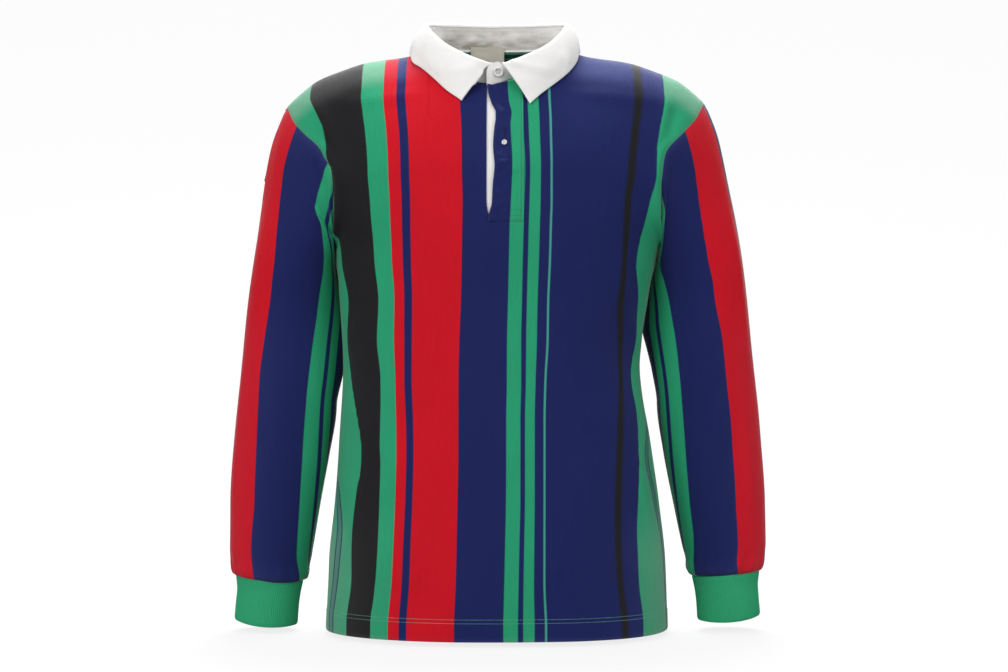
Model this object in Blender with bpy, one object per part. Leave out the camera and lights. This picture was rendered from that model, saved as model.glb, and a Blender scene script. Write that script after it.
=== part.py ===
"""A long-sleeved striped polo shirt, filled out as when worn, with nobody in it.

The origin is the centre of the neck at the height of the shoulders. +X is the wearer's left, +Y their
back and +Z up. Lengths below are millimetres, and MM turns them into metres when a mesh is made.

The cloth's outer face is a form worked out from sections. Body rows run from the hem to the shoulder and
neck seams. Sleeve rings run from the armhole to the cuff. Each piece is a wall built inwards from it.
"""

import math

import bpy
import numpy as np
from mathutils import Vector

MM = 0.001
CLOTH = 2.0  # wall of the jersey pieces
RIB = 2.4
COLLAR_CLOTH = 1.8
BAND_CLOTH = 1.4  # plackets
SEAM_GAP = 0.3
ARMHOLE_GAP = 0.8

# Levels
HEM = -717.0
UNDERARM = -238.0
CHEST = -150.0  # above this the front and back lean in to the shoulder seam
CHEST_PACE = 150.0  # height that one unit of row coordinate covers below the chest

# Neck and placket, measured from the centre front
NECK_HALF = 84.0
NECK_FRONT = -38.0
NECK_BACK = 21.0
NECK_SIDE = 18.0
SLIT_RIGHT, SLIT_LEFT = -12.0, -2.0
UNDER_EDGES = (-24.0, 8.0)
BAND_EDGES = (-7.0, 32.0)

# Sections of the trunk, from the hem up: half widths to the wearer's right and left, depths in front of and
# behind the side seams, where those seams lie, and how square the section is.
TRUNK_COLUMNS = ("z", "right", "left", "front", "back", "seam_y", "square")
TRUNK = (
    (-717, 217, 216, 136, 134, 4, 2.35),
    (-632, 213, 213, 134, 133, 5, 2.30),
    (-556, 206, 205, 130, 130, 5, 2.30),
    (-480, 201, 194, 127, 127, 6, 2.30),
    (-385, 196, 180, 124, 122, 7, 2.30),
    (-309, 200, 190, 124, 120, 8, 2.30),
    (-238, 206, 205, 125, 118, 8, 2.25),
    (-190, 242, 242, 125, 118, 9, 2.10),
    (-150, 272, 272, 124, 118, 10, 2.00),
)
# The shoulder line: half distance from the centre, its height and its place front to back.
SHOULDER_COLUMNS = ("x", "z", "y")
SHOULDER = (
    (0, 44, 0),
    (48, 36, 0),
    (84, 18, 1),
    (112, 7, 2),
    (165, -1, 5),
    (200, -12, 8),
    (228, -23, 10),
    (250, -39, 12),
    (266, -53, 14),
)
# How a front or back column rises from the chest to the shoulder line: the length of its upright handle and
# of its level handle, as shares of the rise and of the depth.
LEAN_COLUMNS = ("x", "front_up", "front_level", "back_up", "back_level")
LEAN = (
    (0, 0.25, 0.12, 0.45, 0.45),
    (84, 0.35, 0.30, 0.50, 0.50),
    (190, 0.50, 0.55, 0.55, 0.55),
    (266, 0.55, 0.60, 0.55, 0.60),
)
# Armhole: half width of the front and back panels as they rise from the underarm to the shoulder.
ARMHOLE_COLUMNS = ("rise", "front", "back")
ARMHOLE = (
    (0.00, 206, 206),
    (0.06, 206, 208),
    (0.17, 204, 209),
    (0.32, 203, 212),
    (0.45, 208, 226),
    (0.56, 233, 240),
    (0.67, 250, 250),
    (0.78, 258, 257),
    (0.89, 262.5, 262),
    (1.00, 266, 266),
)
TRUNK_ROWS = 10
FRONT_RISE = (0.08, 0.16, 0.185, 0.26, 0.35, 0.45, 0.56, 0.67, 0.78, 0.89, 1.0)
SLIT_RISE = FRONT_RISE[2]  # bottom of the placket opening, one row above the band's foot
BACK_RISE = (0.10, 0.22, 0.35, 0.48, 0.60, 0.72, 0.84, 0.955, 1.0)
SIDE_CELLS = 7
NECK_CELLS = 5

# Sleeve rings, from the armhole down: place along the sleeve, the outer and inner point of the ring, and its
# depths in front of and behind its centre line.
RING_COLUMNS = ("along", "outer_x", "outer_z", "inner_x", "inner_z", "front", "back", "centre_y")
SLEEVE = (
    (0.00, 266, -53, 206, -238, 72, 78, 12),
    (0.06, 283, -99, 209, -249, 66, 74, 13),
    (0.15, 295, -160, 211, -270, 62, 68, 14),
    (0.27, 307, -228, 208.5, -312, 60, 64, 16),
    (0.40, 316, -296, 203.5, -362, 58, 61, 17),
    (0.55, 326, -392, 205, -436, 55, 57, 18),
    (0.70, 334, -472, 214, -500, 51, 53, 17),
    (0.85, 340, -562, 227.5, -572, 47, 49, 16),
    (0.94, 340, -615, 238, -622, 43, 45, 15),
    (1.00, 333, -651, 246, -658, 37, 38, 14),
)
SLEEVE_RINGS = 15
ARMHOLE_FADE = 0.35  # how far down the sleeve its armhole shape dies out

# The cuff has the same columns.
CUFF = (
    (0.0, 333, -651.5, 246, -658.5, 37, 38, 14),
    (0.3, 331, -670, 250, -676, 34, 35, 13),
    (1.0, 333, -706, 254, -713, 34, 35, 12),
)
CUFF_RINGS = 4
CUFF_SIDES = 20
BUTTON_SIDES = 20
LEFT_LIFT = 6.0  # the wearer's left cuff hangs a little higher
SLEEVES = {-1: "sleeve_right", 1: "sleeve_left"}
CUFFS = {-1: "cuff_right", 1: "cuff_left"}

# Collar fold, round from the centre front (0) to the centre back (180 degrees)
FOLD_COLUMNS = ("angle", "x", "y", "z")
FOLD = (
    (0, 0, -69, -13),
    (5, 8, -69, -10),
    (24, 37, -64, 6),
    (39, 57, -54, 20),
    (52, 71, -42, 35),
    (66, 82, -28, 45),
    (90, 90, 2, 54),
    (120, 80, 36, 57),
    (150, 47, 55, 57),
    (180, 0, 61, 57),
)
FOLD_RISE = 4.5  # the cloth's roll over the stand's top edge
# Where the leaf's lower edge rests on the body, by the same angle: distance from the centre and body row
LEAF_COLUMNS = ("angle", "x", "row")
LEAF = (
    (6, 43, 0.40),
    (24, 60, 0.46),
    (45, 77, 0.56),
    (62, 93, 0.67),
    (78, 105, 0.82),
    (90, 109, 0.98),
    (105, 106, 0.90),
    (125, 90, 0.84),
    (150, 52, 0.72),
    (180, 0, 0.62),
)
LEAF_LIFT = 3.2  # of the leaf's middle line above the body
LEAF_BULGE = 3.0
ROLL = ((0.0, 0.3), (0.8, 2.9), (3.4, 4.2), (6.2, 2.6))  # the fold's middle line: outwards, upwards
LEAF_STEPS = 4
LAP_COLUMNS = 2  # the leaf leaves this many of the stand's columns bare at each front end
STAND_LAP = 1.3  # the stand's front ends lie this far out of and into its own line
LAP_FADE = 60.0  # degrees over which the two ends come back to one line

NECK_BUTTON = {"radius": 6.4, "thick": 2.2, "x": 1.4, "z": -22.0, "hole": 0.9, "spread": 1.5}
PLACKET_BUTTON = {"radius": 3.4, "thick": 1.6, "x": 8.8, "z": -113.0, "hole": 0.5, "spread": 0.9}
LABEL = {"x": -13.0, "wide": 43.0, "top": 8.5, "drop": 42.0, "thick": 0.6}
TAPE_CLOTH = 0.8

COLOURS = {
    "jersey": ((0.030, 0.030, 0.100), 0.85),
    "rib": ((0.030, 0.260, 0.120), 0.9),
    "woven": ((0.80, 0.80, 0.78), 0.8),
    "button": ((0.85, 0.85, 0.83), 0.35),
    "tape": ((0.020, 0.200, 0.110), 0.85),
    "label": ((0.75, 0.75, 0.73), 0.7),
}


def clear_scene():
    for thing in list(bpy.data.objects):
        bpy.data.objects.remove(thing, do_unlink=True)


def material(name):
    """A Principled material in the piece's colour, made once."""
    if name in bpy.data.materials:
        return bpy.data.materials[name]
    made = bpy.data.materials.new(name)
    made.use_nodes = True
    colour, roughness = COLOURS[name]
    shader = made.node_tree.nodes["Principled BSDF"]
    shader.inputs["Base Color"].default_value = (*colour, 1)
    shader.inputs["Roughness"].default_value = roughness
    shader.inputs["Metallic"].default_value = 0
    return made


def through(xs, ys, at):
    """A smooth curve through hand-set values that never overshoots them."""
    xs, ys, at = np.asarray(xs, float), np.asarray(ys, float), np.asarray(at, float)
    step = np.diff(xs)
    slope = np.diff(ys) / step
    tangent = np.empty_like(ys)
    tangent[0], tangent[-1] = slope[0], slope[-1]
    before, after = slope[:-1], slope[1:]
    mean = 2 * before * after / np.where(before + after == 0, 1, before + after)
    tangent[1:-1] = np.where(before * after > 0, mean, 0)
    i = np.clip(np.searchsorted(xs, at, side="right") - 1, 0, len(step) - 1)
    t = np.clip((at - xs[i]) / step[i], 0, 1)
    start = (1 + 2 * t) * (1 - t) ** 2 * ys[i] + t * (1 - t) ** 2 * step[i] * tangent[i]
    return start + t**2 * (3 - 2 * t) * ys[i + 1] - t**2 * (1 - t) * step[i] * tangent[i + 1]


def column(table, names, name, at):
    """One named column of a table, read smoothly at values of the first."""
    rows = np.array(table, float)
    return through(rows[:, 0], rows[:, names.index(name)], at)


def trunk(name, z):
    return column(TRUNK, TRUNK_COLUMNS, name, z)


def smooth_step(t):
    t = np.clip(t, 0, 1)
    return t * t * (3 - 2 * t)


# The body's form


def neck_height(x, back):
    """Height of the neck seam at a distance from the centre."""
    arch = np.sqrt(np.clip(1 - (np.abs(x) / NECK_HALF) ** 2.2, 0, 1))
    return NECK_SIDE + ((NECK_BACK if back else NECK_FRONT) - NECK_SIDE) * arch


def lean(x, t, back):
    """Shares of rise and of depth at t along a column from the chest (0) to the shoulder line (1)."""
    side = "back" if back else "front"
    up = column(LEAN, LEAN_COLUMNS, side + "_up", np.abs(x))
    level = column(LEAN, LEAN_COLUMNS, side + "_level", np.abs(x))
    a, b, c, d = (1 - t) ** 3, 3 * (1 - t) ** 2 * t, 3 * (1 - t) * t**2, t**3
    return b * up + c + d, a + b + c * level


def form(x, row, back):
    """Points of the form, given x and the row coordinate: 0 at the chest, 1 at the shoulder line."""
    t = np.clip(row, 0, 1)
    rise, depth = lean(x, t, back)
    top = column(SHOULDER, SHOULDER_COLUMNS, "z", np.abs(x))
    z = np.where(row < 0, CHEST + CHEST_PACE * row, CHEST + (top - CHEST) * rise)
    level = np.minimum(z, CHEST)
    half = np.where(x < 0, trunk("right", level), trunk("left", level))
    square = trunk("square", level)
    bulge = np.clip(1 - (np.abs(x) / half) ** square, 0, 1) ** (1 / square)
    seam = trunk("seam_y", level)
    y = seam + trunk("back", level) * bulge if back else seam - trunk("front", level) * bulge
    ridge = column(SHOULDER, SHOULDER_COLUMNS, "y", np.abs(x))
    y = np.where(row < 0, y, ridge + (y - ridge) * depth)
    return np.stack([x, y, z], axis=-1)


def top_row(x, back):
    """Row coordinate where the panel ends: 1 at the shoulder seam, less along the neck seam."""
    ends = np.ones_like(x)
    steps = np.linspace(0, 1, 81)
    for i in np.flatnonzero(np.abs(x) < NECK_HALF - 1e-6):
        heights = form(np.full_like(steps, x[i]), steps, back)[:, 2]
        ends[i] = np.interp(neck_height(x[i], back), heights, steps)
    return ends


def along_row(line, marks, cells):
    """Points along a dense line: the places where x passes the marks, with cells between each two."""
    far = np.concatenate([[0], np.cumsum(np.linalg.norm(np.diff(line, axis=0), axis=1))])
    at = np.interp([line[0, 0], *marks, line[-1, 0]], line[:, 0], far)
    at[0], at[-1] = 0, far[-1]
    stops = [np.linspace(a, b, n, endpoint=False) for a, b, n in zip(at, at[1:], cells)]
    stops = np.append(np.concatenate(stops), far[-1])
    return np.stack([np.interp(stops, far, line[:, k]) for k in range(3)], axis=1)


def spread(half_right, half_left):
    """Distances from the centre, crowded at both ends and round the neck's corners."""
    turn = np.sin(np.linspace(-math.pi / 2, math.pi / 2, 241))
    wide = np.where(turn < 0, turn * half_right, turn * half_left)
    neck = NECK_HALF * np.sin(np.linspace(-math.pi / 2, math.pi / 2, 121))
    return np.unique(np.concatenate([wide, neck[np.abs(neck) < min(half_right, half_left)]]))


def panel_grid(back, rises, marks, cells):
    """Rows of the front or back panel from the hem to the shoulder and neck seams."""
    rows = []
    for z in np.linspace(HEM, UNDERARM, TRUNK_ROWS + 1):
        x = spread(trunk("right", z), trunk("left", z))
        line = form(x, np.full_like(x, (z - CHEST) / CHEST_PACE), back)
        rows.append(along_row(line, marks, cells))
    start = (UNDERARM - CHEST) / CHEST_PACE
    for rise in rises:
        half = column(ARMHOLE, ARMHOLE_COLUMNS, "back" if back else "front", rise)
        x = spread(half, half)
        line = form(x, start + (top_row(x, back) - start) * rise, back)
        rows.append(along_row(line, marks, cells))
    return np.array(rows)


# The sleeves' form


def ring(table, along, turns, side):
    """One ring of a sleeve or cuff. Turn 0 is its outer point, a quarter its front, a half its inner."""
    value = {name: column(table, RING_COLUMNS, name, along) for name in RING_COLUMNS[1:]}
    outer = np.array([value["outer_x"], 0, value["outer_z"]])
    inner = np.array([value["inner_x"], 0, value["inner_z"]])
    angle = turns * 2 * math.pi
    depth = np.where(turns < 0.5, -value["front"], value["back"])
    points = (outer + inner) / 2 + np.cos(angle)[:, None] * (outer - inner) / 2
    points[:, 1] = value["centre_y"] + np.abs(np.sin(angle)) * depth
    if side > 0:
        points[:, 2] += LEFT_LIFT * (smooth_step(along) if table is SLEEVE else 1)
    return points * (side, 1, 1)


def armhole_of(front, back, side):
    """The armhole seam as a ring: down the front from the shoulder, then up the back."""
    edge = -1 if side > 0 else 0
    return np.concatenate([front[TRUNK_ROWS:, edge][::-1], back[TRUNK_ROWS + 1 : -1, edge]])


def sleeve_grid(armhole, side):
    """Rings from the armhole seam to the cuff seam, where the armhole's own shape fades out on the way."""
    step = np.linalg.norm(np.roll(armhole, -1, axis=0) - armhole, axis=1)
    far = np.concatenate([[0], np.cumsum(step)])
    turns = np.interp(far[:-1], [0, far[len(FRONT_RISE)], far[-1]], [0, 0.5, 1])
    first = ring(SLEEVE, 0.0, turns, side)
    rows = []
    for along in np.linspace(0, 1, SLEEVE_RINGS + 1):
        fade = 1 - smooth_step(along / ARMHOLE_FADE)
        rows.append(ring(SLEEVE, along, turns, side) + fade * (armhole - first))
    return np.array(rows)


# Walls and seams


def unit(vectors):
    return vectors / np.maximum(np.linalg.norm(vectors, axis=-1, keepdims=True), 1e-9)


def normals_of(grid, wrap=False):
    """Unit normals of a grid of points, to the right of its rows' direction."""
    if wrap:
        across = np.roll(grid, -1, axis=1) - np.roll(grid, 1, axis=1)
    else:
        across = np.gradient(grid, axis=1)
    return unit(np.cross(across, np.gradient(grid, axis=0)))


def wall(name, outer, inner, stuff, wrap=False, missing=()):
    """A closed wall between two grids of points, without the missing cells."""
    rows, columns = outer.shape[:2]
    cells = {
        (r, c)
        for r in range(rows - 1)
        for c in range(columns if wrap else columns - 1)
        if (r, c) not in missing
    }
    layers, number, points, faces = (outer, inner), {}, [], []

    def vertex(r, c, layer):
        key = (r, c % columns, layer)
        if key not in number:
            number[key] = len(points)
            points.append(layers[layer][r, c % columns] * MM)
        return number[key]

    for r, c in sorted(cells):
        corners = ((r, c), (r, c + 1), (r + 1, c + 1), (r + 1, c))
        faces.append([vertex(*corner, 0) for corner in corners])
        faces.append([vertex(*corners[k], 1) for k in (0, 3, 2, 1)])
        beside = ((r - 1, c), (r, c + 1), (r + 1, c), (r, c - 1))
        for k, (row, col) in enumerate(beside):
            if (row, col % columns if wrap else col) not in cells:
                a, b = corners[k], corners[(k + 1) % 4]
                faces.append([vertex(*b, 0), vertex(*a, 0), vertex(*a, 1), vertex(*b, 1)])
    return make_object(name, points, faces, stuff)


def make_object(name, points, faces, stuff):
    mesh = bpy.data.meshes.new(name)
    mesh.from_pydata([tuple(p) for p in points], [], faces)
    mesh.materials.append(material(stuff))
    mesh.shade_smooth()
    mesh.set_sharp_from_angle(angle=math.radians(50))
    made = bpy.data.objects.new(name, mesh)
    bpy.context.scene.collection.objects.link(made)
    return made


def layer(grid, normals, start, thick):
    """The two faces of a layer that lies on a grid, start above it."""
    return grid + normals * (start + thick), grid + normals * start


def share_normals(normals, places):
    """Gives the pieces that meet at a seam one normal there, so that their edges are parallel."""
    trunk_side = [normals[piece][spot] for piece, spot in places if piece in ("front", "back")]
    sleeve_side = [normals[piece][spot] for piece, spot in places if piece not in ("front", "back")]
    mean = unit(sum(unit(sum(part)) for part in (trunk_side, sleeve_side) if part))
    for piece, spot in places:
        normals[piece][spot] = mean


def open_seam(grids, normals, places, line, closed=False):
    """Moves the two pieces of a seam apart, square to it and its normal. An armhole opens a little more."""
    if closed:
        tangent = np.roll(line, -1, axis=0) - np.roll(line, 1, axis=0)
    else:
        tangent = np.gradient(line, axis=0)
    away = unit(np.cross(tangent, normals)) * (ARMHOLE_GAP if closed else SEAM_GAP) / 2
    for spots, sign in places:
        for i, (piece, spot) in enumerate(spots):
            if piece:
                grids[piece][spot] += sign * away[i]


# The pieces


class Jersey:
    """The front, back and sleeves: grids of their outer faces, normals that seams share, and seam gaps."""

    def __init__(self):
        marks = [-NECK_HALF, UNDER_EDGES[0], SLIT_RIGHT, SLIT_LEFT, UNDER_EDGES[1], BAND_EDGES[1], NECK_HALF]
        cells = [SIDE_CELLS, NECK_CELLS - 1, 1, 1, 1, 1, NECK_CELLS - 2, SIDE_CELLS]
        self.slit = sum(cells[:3])
        self.slit_row = TRUNK_ROWS + 1 + FRONT_RISE.index(SLIT_RISE)
        front = panel_grid(False, FRONT_RISE, marks, cells)
        marks = [-NECK_HALF, 0, NECK_HALF]
        back = panel_grid(True, BACK_RISE, marks, [SIDE_CELLS, NECK_CELLS, NECK_CELLS, SIDE_CELLS])
        self.grids = {"front": front, "back": back}
        self.normals = {"front": normals_of(front), "back": -normals_of(back)}
        for side, name in SLEEVES.items():
            grid = sleeve_grid(armhole_of(front, back, side), side)
            self.grids[name] = grid
            self.normals[name] = side * normals_of(grid, wrap=True)
        self.join()

    def seams(self):
        """Each seam as (spots of its first piece, spots of its second, closed or not)."""
        top, last = len(FRONT_RISE), len(BACK_RISE)
        for side, name in SLEEVES.items():
            edge = -1 if side > 0 else 0
            down = [("front", (TRUNK_ROWS + k, edge)) for k in range(top, -1, -1)]
            up = [("back", (TRUNK_ROWS + k, edge)) for k in range(1, last)]
            yield side, down + up, [(name, (0, c)) for c in range(top + last)], True
            rows = range(TRUNK_ROWS + 1)
            down = [("front", (r, edge)) for r in rows]
            yield -side, down, [("back", (r, edge)) for r in rows], False
            first = range(SIDE_CELLS + 1)
            across = [-1 - c if side > 0 else c for c in first]
            top_seam = [("front", (-1, c)) for c in across]
            yield -side, top_seam, [("back", (-1, c)) for c in across], False

    def join(self):
        seams = list(self.seams())
        meets = {}
        for _, one, other, _ in seams:
            for a, b in zip(one, other):
                group = meets.get(self.key(a), {self.key(a): a}) | meets.get(self.key(b), {self.key(b): b})
                for key in group:
                    meets[key] = group
        for group in meets.values():
            share_normals(self.normals, list(group.values()))
        lines = [np.array([self.grids[piece][spot] for piece, spot in one]) for _, one, _, _ in seams]
        for (sign, one, other, closed), line in zip(seams, lines):
            normals = np.array([self.normals[piece][spot] for piece, spot in one])
            open_seam(self.grids, normals, ((one, sign), (other, -sign)), line, closed)

    def key(self, place):
        piece, (r, c) = place
        rows, columns = self.grids[piece].shape[:2]
        return piece, r % rows, c % columns


def build_jersey(jersey):
    for name, grid in jersey.grids.items():
        outer, inner = grid, grid - jersey.normals[name] * CLOTH
        if name == "front":
            gap = {(r, jersey.slit) for r in range(jersey.slit_row, len(grid))}
            wall(name, outer, inner, "jersey", missing=gap)
        elif name in ("back", SLEEVES[-1]):
            wall(name, outer[:, ::-1], inner[:, ::-1], "jersey", wrap=name != "back")
        else:
            wall(name, outer, inner, "jersey", wrap=True)


def build_cuffs():
    turns = np.arange(CUFF_SIDES) / CUFF_SIDES
    for side, name in CUFFS.items():
        rows = [ring(CUFF, along, turns, side) for along in np.linspace(0, 1, CUFF_RINGS)]
        grid = np.array(rows)[:, ::side]
        wall(name, grid, grid - normals_of(grid, wrap=True) * RIB, "rib", wrap=True)


def build_plackets(jersey):
    """The band lies on the front over the opening, the underlap behind it. Both come from its points."""
    front, normals, slit = jersey.grids["front"], jersey.normals["front"], jersey.slit
    share = (BAND_EDGES[0] - SLIT_RIGHT) / (SLIT_LEFT - SLIT_RIGHT)
    rows = slice(jersey.slit_row - 1, None)

    def with_edge(points):
        edge = points[rows, slit] * (1 - share) + points[rows, slit + 1] * share
        return np.concatenate([edge[:, None], points[rows, slit + 1 : slit + 4]], axis=1)

    band = layer(with_edge(front), unit(with_edge(normals)), SEAM_GAP, BAND_CLOTH)
    wall("placket_over", *band, "jersey")
    under = slice(slit - 1, slit + 3)
    start = -CLOTH - SEAM_GAP - BAND_CLOTH
    wall("placket_under", *layer(front[rows, under], normals[rows, under], start, BAND_CLOTH), "woven")
    return band[0]


def fold_line(theta):
    """The collar's fold at degrees round from the centre front, by way of the wearer's right."""
    angle = np.abs((theta + 180) % 360 - 180)
    x, y, z = (column(FOLD, FOLD_COLUMNS, name, angle) for name in "xyz")
    return np.stack([-x * np.sign(np.sin(np.radians(theta))), y, z], axis=-1)


def stand_top(theta):
    """The stand's top edge, the outward and upward directions there, and how far out its lapped ends lie."""
    along = fold_line(theta + 1) - fold_line(theta - 1)
    out = unit(np.cross((0, 0, 1), along * (1, 1, 0)))
    from_front = np.where(theta < 180, theta, 360 - theta)
    lap = STAND_LAP * np.sign(theta - 180) * (1 - smooth_step((from_front - 12) / LAP_FADE))
    top = fold_line(theta) - (0, 0, FOLD_RISE) + out * lap[:, None]
    return top, out, unit(np.cross(along, out)), lap


def neck_seam(jersey):
    """The neck seam from the under end to the over end: points, normals and degrees round."""
    slit, last = jersey.slit, jersey.grids["front"].shape[1] - 1
    right = [("front", c) for c in range(slit + 2, SIDE_CELLS - 1, -1)]
    back = [("back", c) for c in range(SIDE_CELLS + 1, SIDE_CELLS + 2 * NECK_CELLS)]
    left = [("front", c) for c in range(last - SIDE_CELLS, slit - 1, -1)]
    spots = right + back + left
    points = np.array([jersey.grids[piece][-1, c] for piece, c in spots])
    normals = np.array([jersey.normals[piece][-1, c] for piece, c in spots])
    angle = np.degrees(np.arcsin(np.clip(-points[:, 0] / NECK_HALF, -1, 1)))
    theta = np.array([180 - a if piece == "back" else a for (piece, _), a in zip(spots, angle)])
    theta[len(right) + len(back) :] += 360
    return points, normals, theta


def build_stand(jersey):
    seam, normals, theta = neck_seam(jersey)
    top, out, _, lap = stand_top(theta)
    up = unit(np.cross(np.gradient(seam, axis=0), normals))
    foot = seam + up * SEAM_GAP * 1.5 + normals * lap[:, None]
    middle_out = unit(normals + 2 * out)
    outer = np.array([foot, (foot + top) / 2 + middle_out, top])
    inner = outer - np.array([normals, middle_out, out]) * COLLAR_CLOTH
    wall("collar_stand", outer[:, ::-1], inner[:, ::-1], "woven")
    return outer, theta


def leaf_edge(theta):
    """Where the leaf's lower edge lies, above the body."""
    angle = np.abs((theta + 180) % 360 - 180)
    x = column(LEAF, LEAF_COLUMNS, "x", angle) * -np.sign(np.sin(np.radians(theta)))
    row = column(LEAF, LEAF_COLUMNS, "row", angle)
    points = np.empty((len(theta), 3))
    for back in (False, True):
        here = (angle > 90) == back
        at = form(x[here], row[here], back)
        across = form(x[here] + 1, row[here], back) - at
        up = at - form(x[here], row[here] - 0.02, back)
        points[here] = at + unit(np.cross(across, up)) * LEAF_LIFT * (-1 if back else 1)
    return points


def build_leaf(theta):
    theta = theta[LAP_COLUMNS:-LAP_COLUMNS]
    top, out, up, _ = stand_top(theta)
    middle = top - out * COLLAR_CLOTH / 2
    rows = [middle + out * away + up * rise for away, rise in ROLL]
    start, end = rows[-1], leaf_edge(theta)
    side = unit(np.cross(np.gradient(start, axis=0), end - start))
    for step in np.linspace(0, 1, LEAF_STEPS + 1)[1:]:
        bulge = LEAF_BULGE * math.sin(math.pi * step)
        rows.append(start + (end - start) * step + side * bulge)
    grid = np.array(rows)
    half = normals_of(grid) * COLLAR_CLOTH / 2
    wall("collar_leaf", grid + half, grid - half, "woven")


def build_neck_trim(jersey):
    """The tape over the back neck seam and the blank label, both on the back's inner face."""
    back, normals = jersey.grids["back"], jersey.normals["back"]
    inside = slice(SIDE_CELLS + 1, SIDE_CELLS + 2 * NECK_CELLS)
    start = -CLOTH - SEAM_GAP - TAPE_CLOTH
    faces = layer(back[-2:, inside], normals[-2:, inside], start, TAPE_CLOTH)
    wall("neck_tape", *(face[:, ::-1] for face in faces), "tape")

    half = LABEL["wide"] / 2
    across = (LABEL["x"] - half, 0, LABEL["x"] + half)
    columns = np.interp(across, back[-1, inside, 0], range(2 * NECK_CELLS - 1))
    lines = []
    for at in columns + SIDE_CELLS + 1:
        c, share = int(at), at % 1
        line = (back[:, c] * (1 - share) + back[:, c + 1] * share)[::-1]
        normal = (normals[:, c] * (1 - share) + normals[:, c + 1] * share)[::-1]
        far = np.concatenate([[0], np.cumsum(np.linalg.norm(np.diff(line, axis=0), axis=1))])
        stops = np.linspace(0, LABEL["drop"], 4)
        points = np.stack([np.interp(stops, far, line[:, k]) for k in range(3)], axis=1)
        facing = unit(np.stack([np.interp(stops, far, normal[:, k]) for k in range(3)], axis=1))
        above = points[0] + unit(points[0] - points[1]) * LABEL["top"]
        lines.append((np.vstack([above, points]), np.vstack([facing[0], facing])))
    grid, facing = (np.array(part).transpose(1, 0, 2)[::-1] for part in zip(*lines))
    start -= 2 * SEAM_GAP + LABEL["thick"]
    wall("neck_label", *(face[:, ::-1] for face in layer(grid, facing, start, LABEL["thick"])), "label")


def build_button(name, size, point, facing):
    """A turned disc with a raised rim and four holes, seated on a face."""
    radius, thick = size["radius"] * MM, size["thick"] * MM
    profile = ((0, 0), (0.94, 0), (1, 0.3), (1, 0.7), (0.9, 1), (0.68, 1), (0.58, 0.75), (0, 0.75))
    points, faces = [], []
    for share, height in profile[1:-1]:
        for k in range(BUTTON_SIDES):
            turn = 2 * math.pi * k / BUTTON_SIDES
            points.append((share * radius * math.cos(turn), share * radius * math.sin(turn), height * thick))
    rings = len(profile) - 2
    for r in range(rings - 1):
        for k in range(BUTTON_SIDES):
            a, b = r * BUTTON_SIDES + k, r * BUTTON_SIDES + (k + 1) % BUTTON_SIDES
            faces.append((a, b, b + BUTTON_SIDES, a + BUTTON_SIDES))
    faces.append(tuple(range(BUTTON_SIDES))[::-1])
    faces.append(tuple(range((rings - 1) * BUTTON_SIDES, rings * BUTTON_SIDES)))
    button = make_object(name, points, faces, "button")
    for k in range(4):
        turn = math.pi / 4 + k * math.pi / 2
        reach = size["spread"] * math.sqrt(2) * MM
        bpy.ops.mesh.primitive_cylinder_add(
            vertices=8,
            radius=size["hole"] * MM,
            depth=4 * thick,
            location=(reach * math.cos(turn), reach * math.sin(turn), 0),
        )
        cutter = bpy.context.object
        cutter.name = f"{name}_hole_{k}"
        cutter.parent = button
        cutter.hide_render = True
        cutter.display_type = "WIRE"
        cut = button.modifiers.new(f"hole_{k}", "BOOLEAN")
        cut.operation = "DIFFERENCE"
        cut.object = cutter
    button.location = [v * MM for v in point + facing * SEAM_GAP * 1.5]
    button.rotation_mode = "QUATERNION"
    button.rotation_quaternion = Vector(facing).to_track_quat("Z", "Y")


def spot_on(grid, x, z):
    """The point of a grid of columns by rows at a given x and z, and its facing."""
    heights = [np.interp(x, *zip(*sorted(zip(row[:, 0], row[:, 2])))) for row in grid]
    order = np.argsort(heights)
    r = np.interp(z, np.array(heights)[order], order)
    low = min(int(r), len(grid) - 2)
    ends = []
    for row in grid[low : low + 2]:
        by_x = row[np.argsort(row[:, 0])]
        ends.append(np.array([np.interp(x, by_x[:, 0], by_x[:, k]) for k in range(3)]))
    facing = unit(np.cross((1, 0, 0), ends[1] - ends[0]))
    return ends[0] + (ends[1] - ends[0]) * (r - low), facing if facing[1] < 0 else -facing


def main():
    clear_scene()
    jersey = Jersey()
    build_jersey(jersey)
    build_cuffs()
    band = build_plackets(jersey)
    stand, theta = build_stand(jersey)
    build_leaf(theta)
    build_neck_trim(jersey)
    build_button("neck_button", NECK_BUTTON, *spot_on(stand[:, -4:], NECK_BUTTON["x"], NECK_BUTTON["z"]))
    build_button("placket_button", PLACKET_BUTTON, *spot_on(band, PLACKET_BUTTON["x"], PLACKET_BUTTON["z"]))


main()
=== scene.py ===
import math

import bpy
import numpy as np
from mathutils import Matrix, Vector


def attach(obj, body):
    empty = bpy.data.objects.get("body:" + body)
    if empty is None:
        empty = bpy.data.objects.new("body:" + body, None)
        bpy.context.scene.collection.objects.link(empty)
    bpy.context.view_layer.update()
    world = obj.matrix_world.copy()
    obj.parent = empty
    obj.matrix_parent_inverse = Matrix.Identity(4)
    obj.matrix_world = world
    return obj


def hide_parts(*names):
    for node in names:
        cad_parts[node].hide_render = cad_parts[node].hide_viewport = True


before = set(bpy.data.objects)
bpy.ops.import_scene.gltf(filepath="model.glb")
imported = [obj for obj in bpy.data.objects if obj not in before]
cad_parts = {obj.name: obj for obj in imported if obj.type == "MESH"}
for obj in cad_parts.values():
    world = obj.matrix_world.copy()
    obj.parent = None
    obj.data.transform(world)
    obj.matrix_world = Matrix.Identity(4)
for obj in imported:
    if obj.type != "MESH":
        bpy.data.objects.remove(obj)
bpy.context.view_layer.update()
mm = 0.001  # every length below is in millimetres
body = "root"


def table(names, *rows):  # columns by name; the first one says where each row stands
    return dict(zip(names.split(), np.array(rows, float).T))


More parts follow.
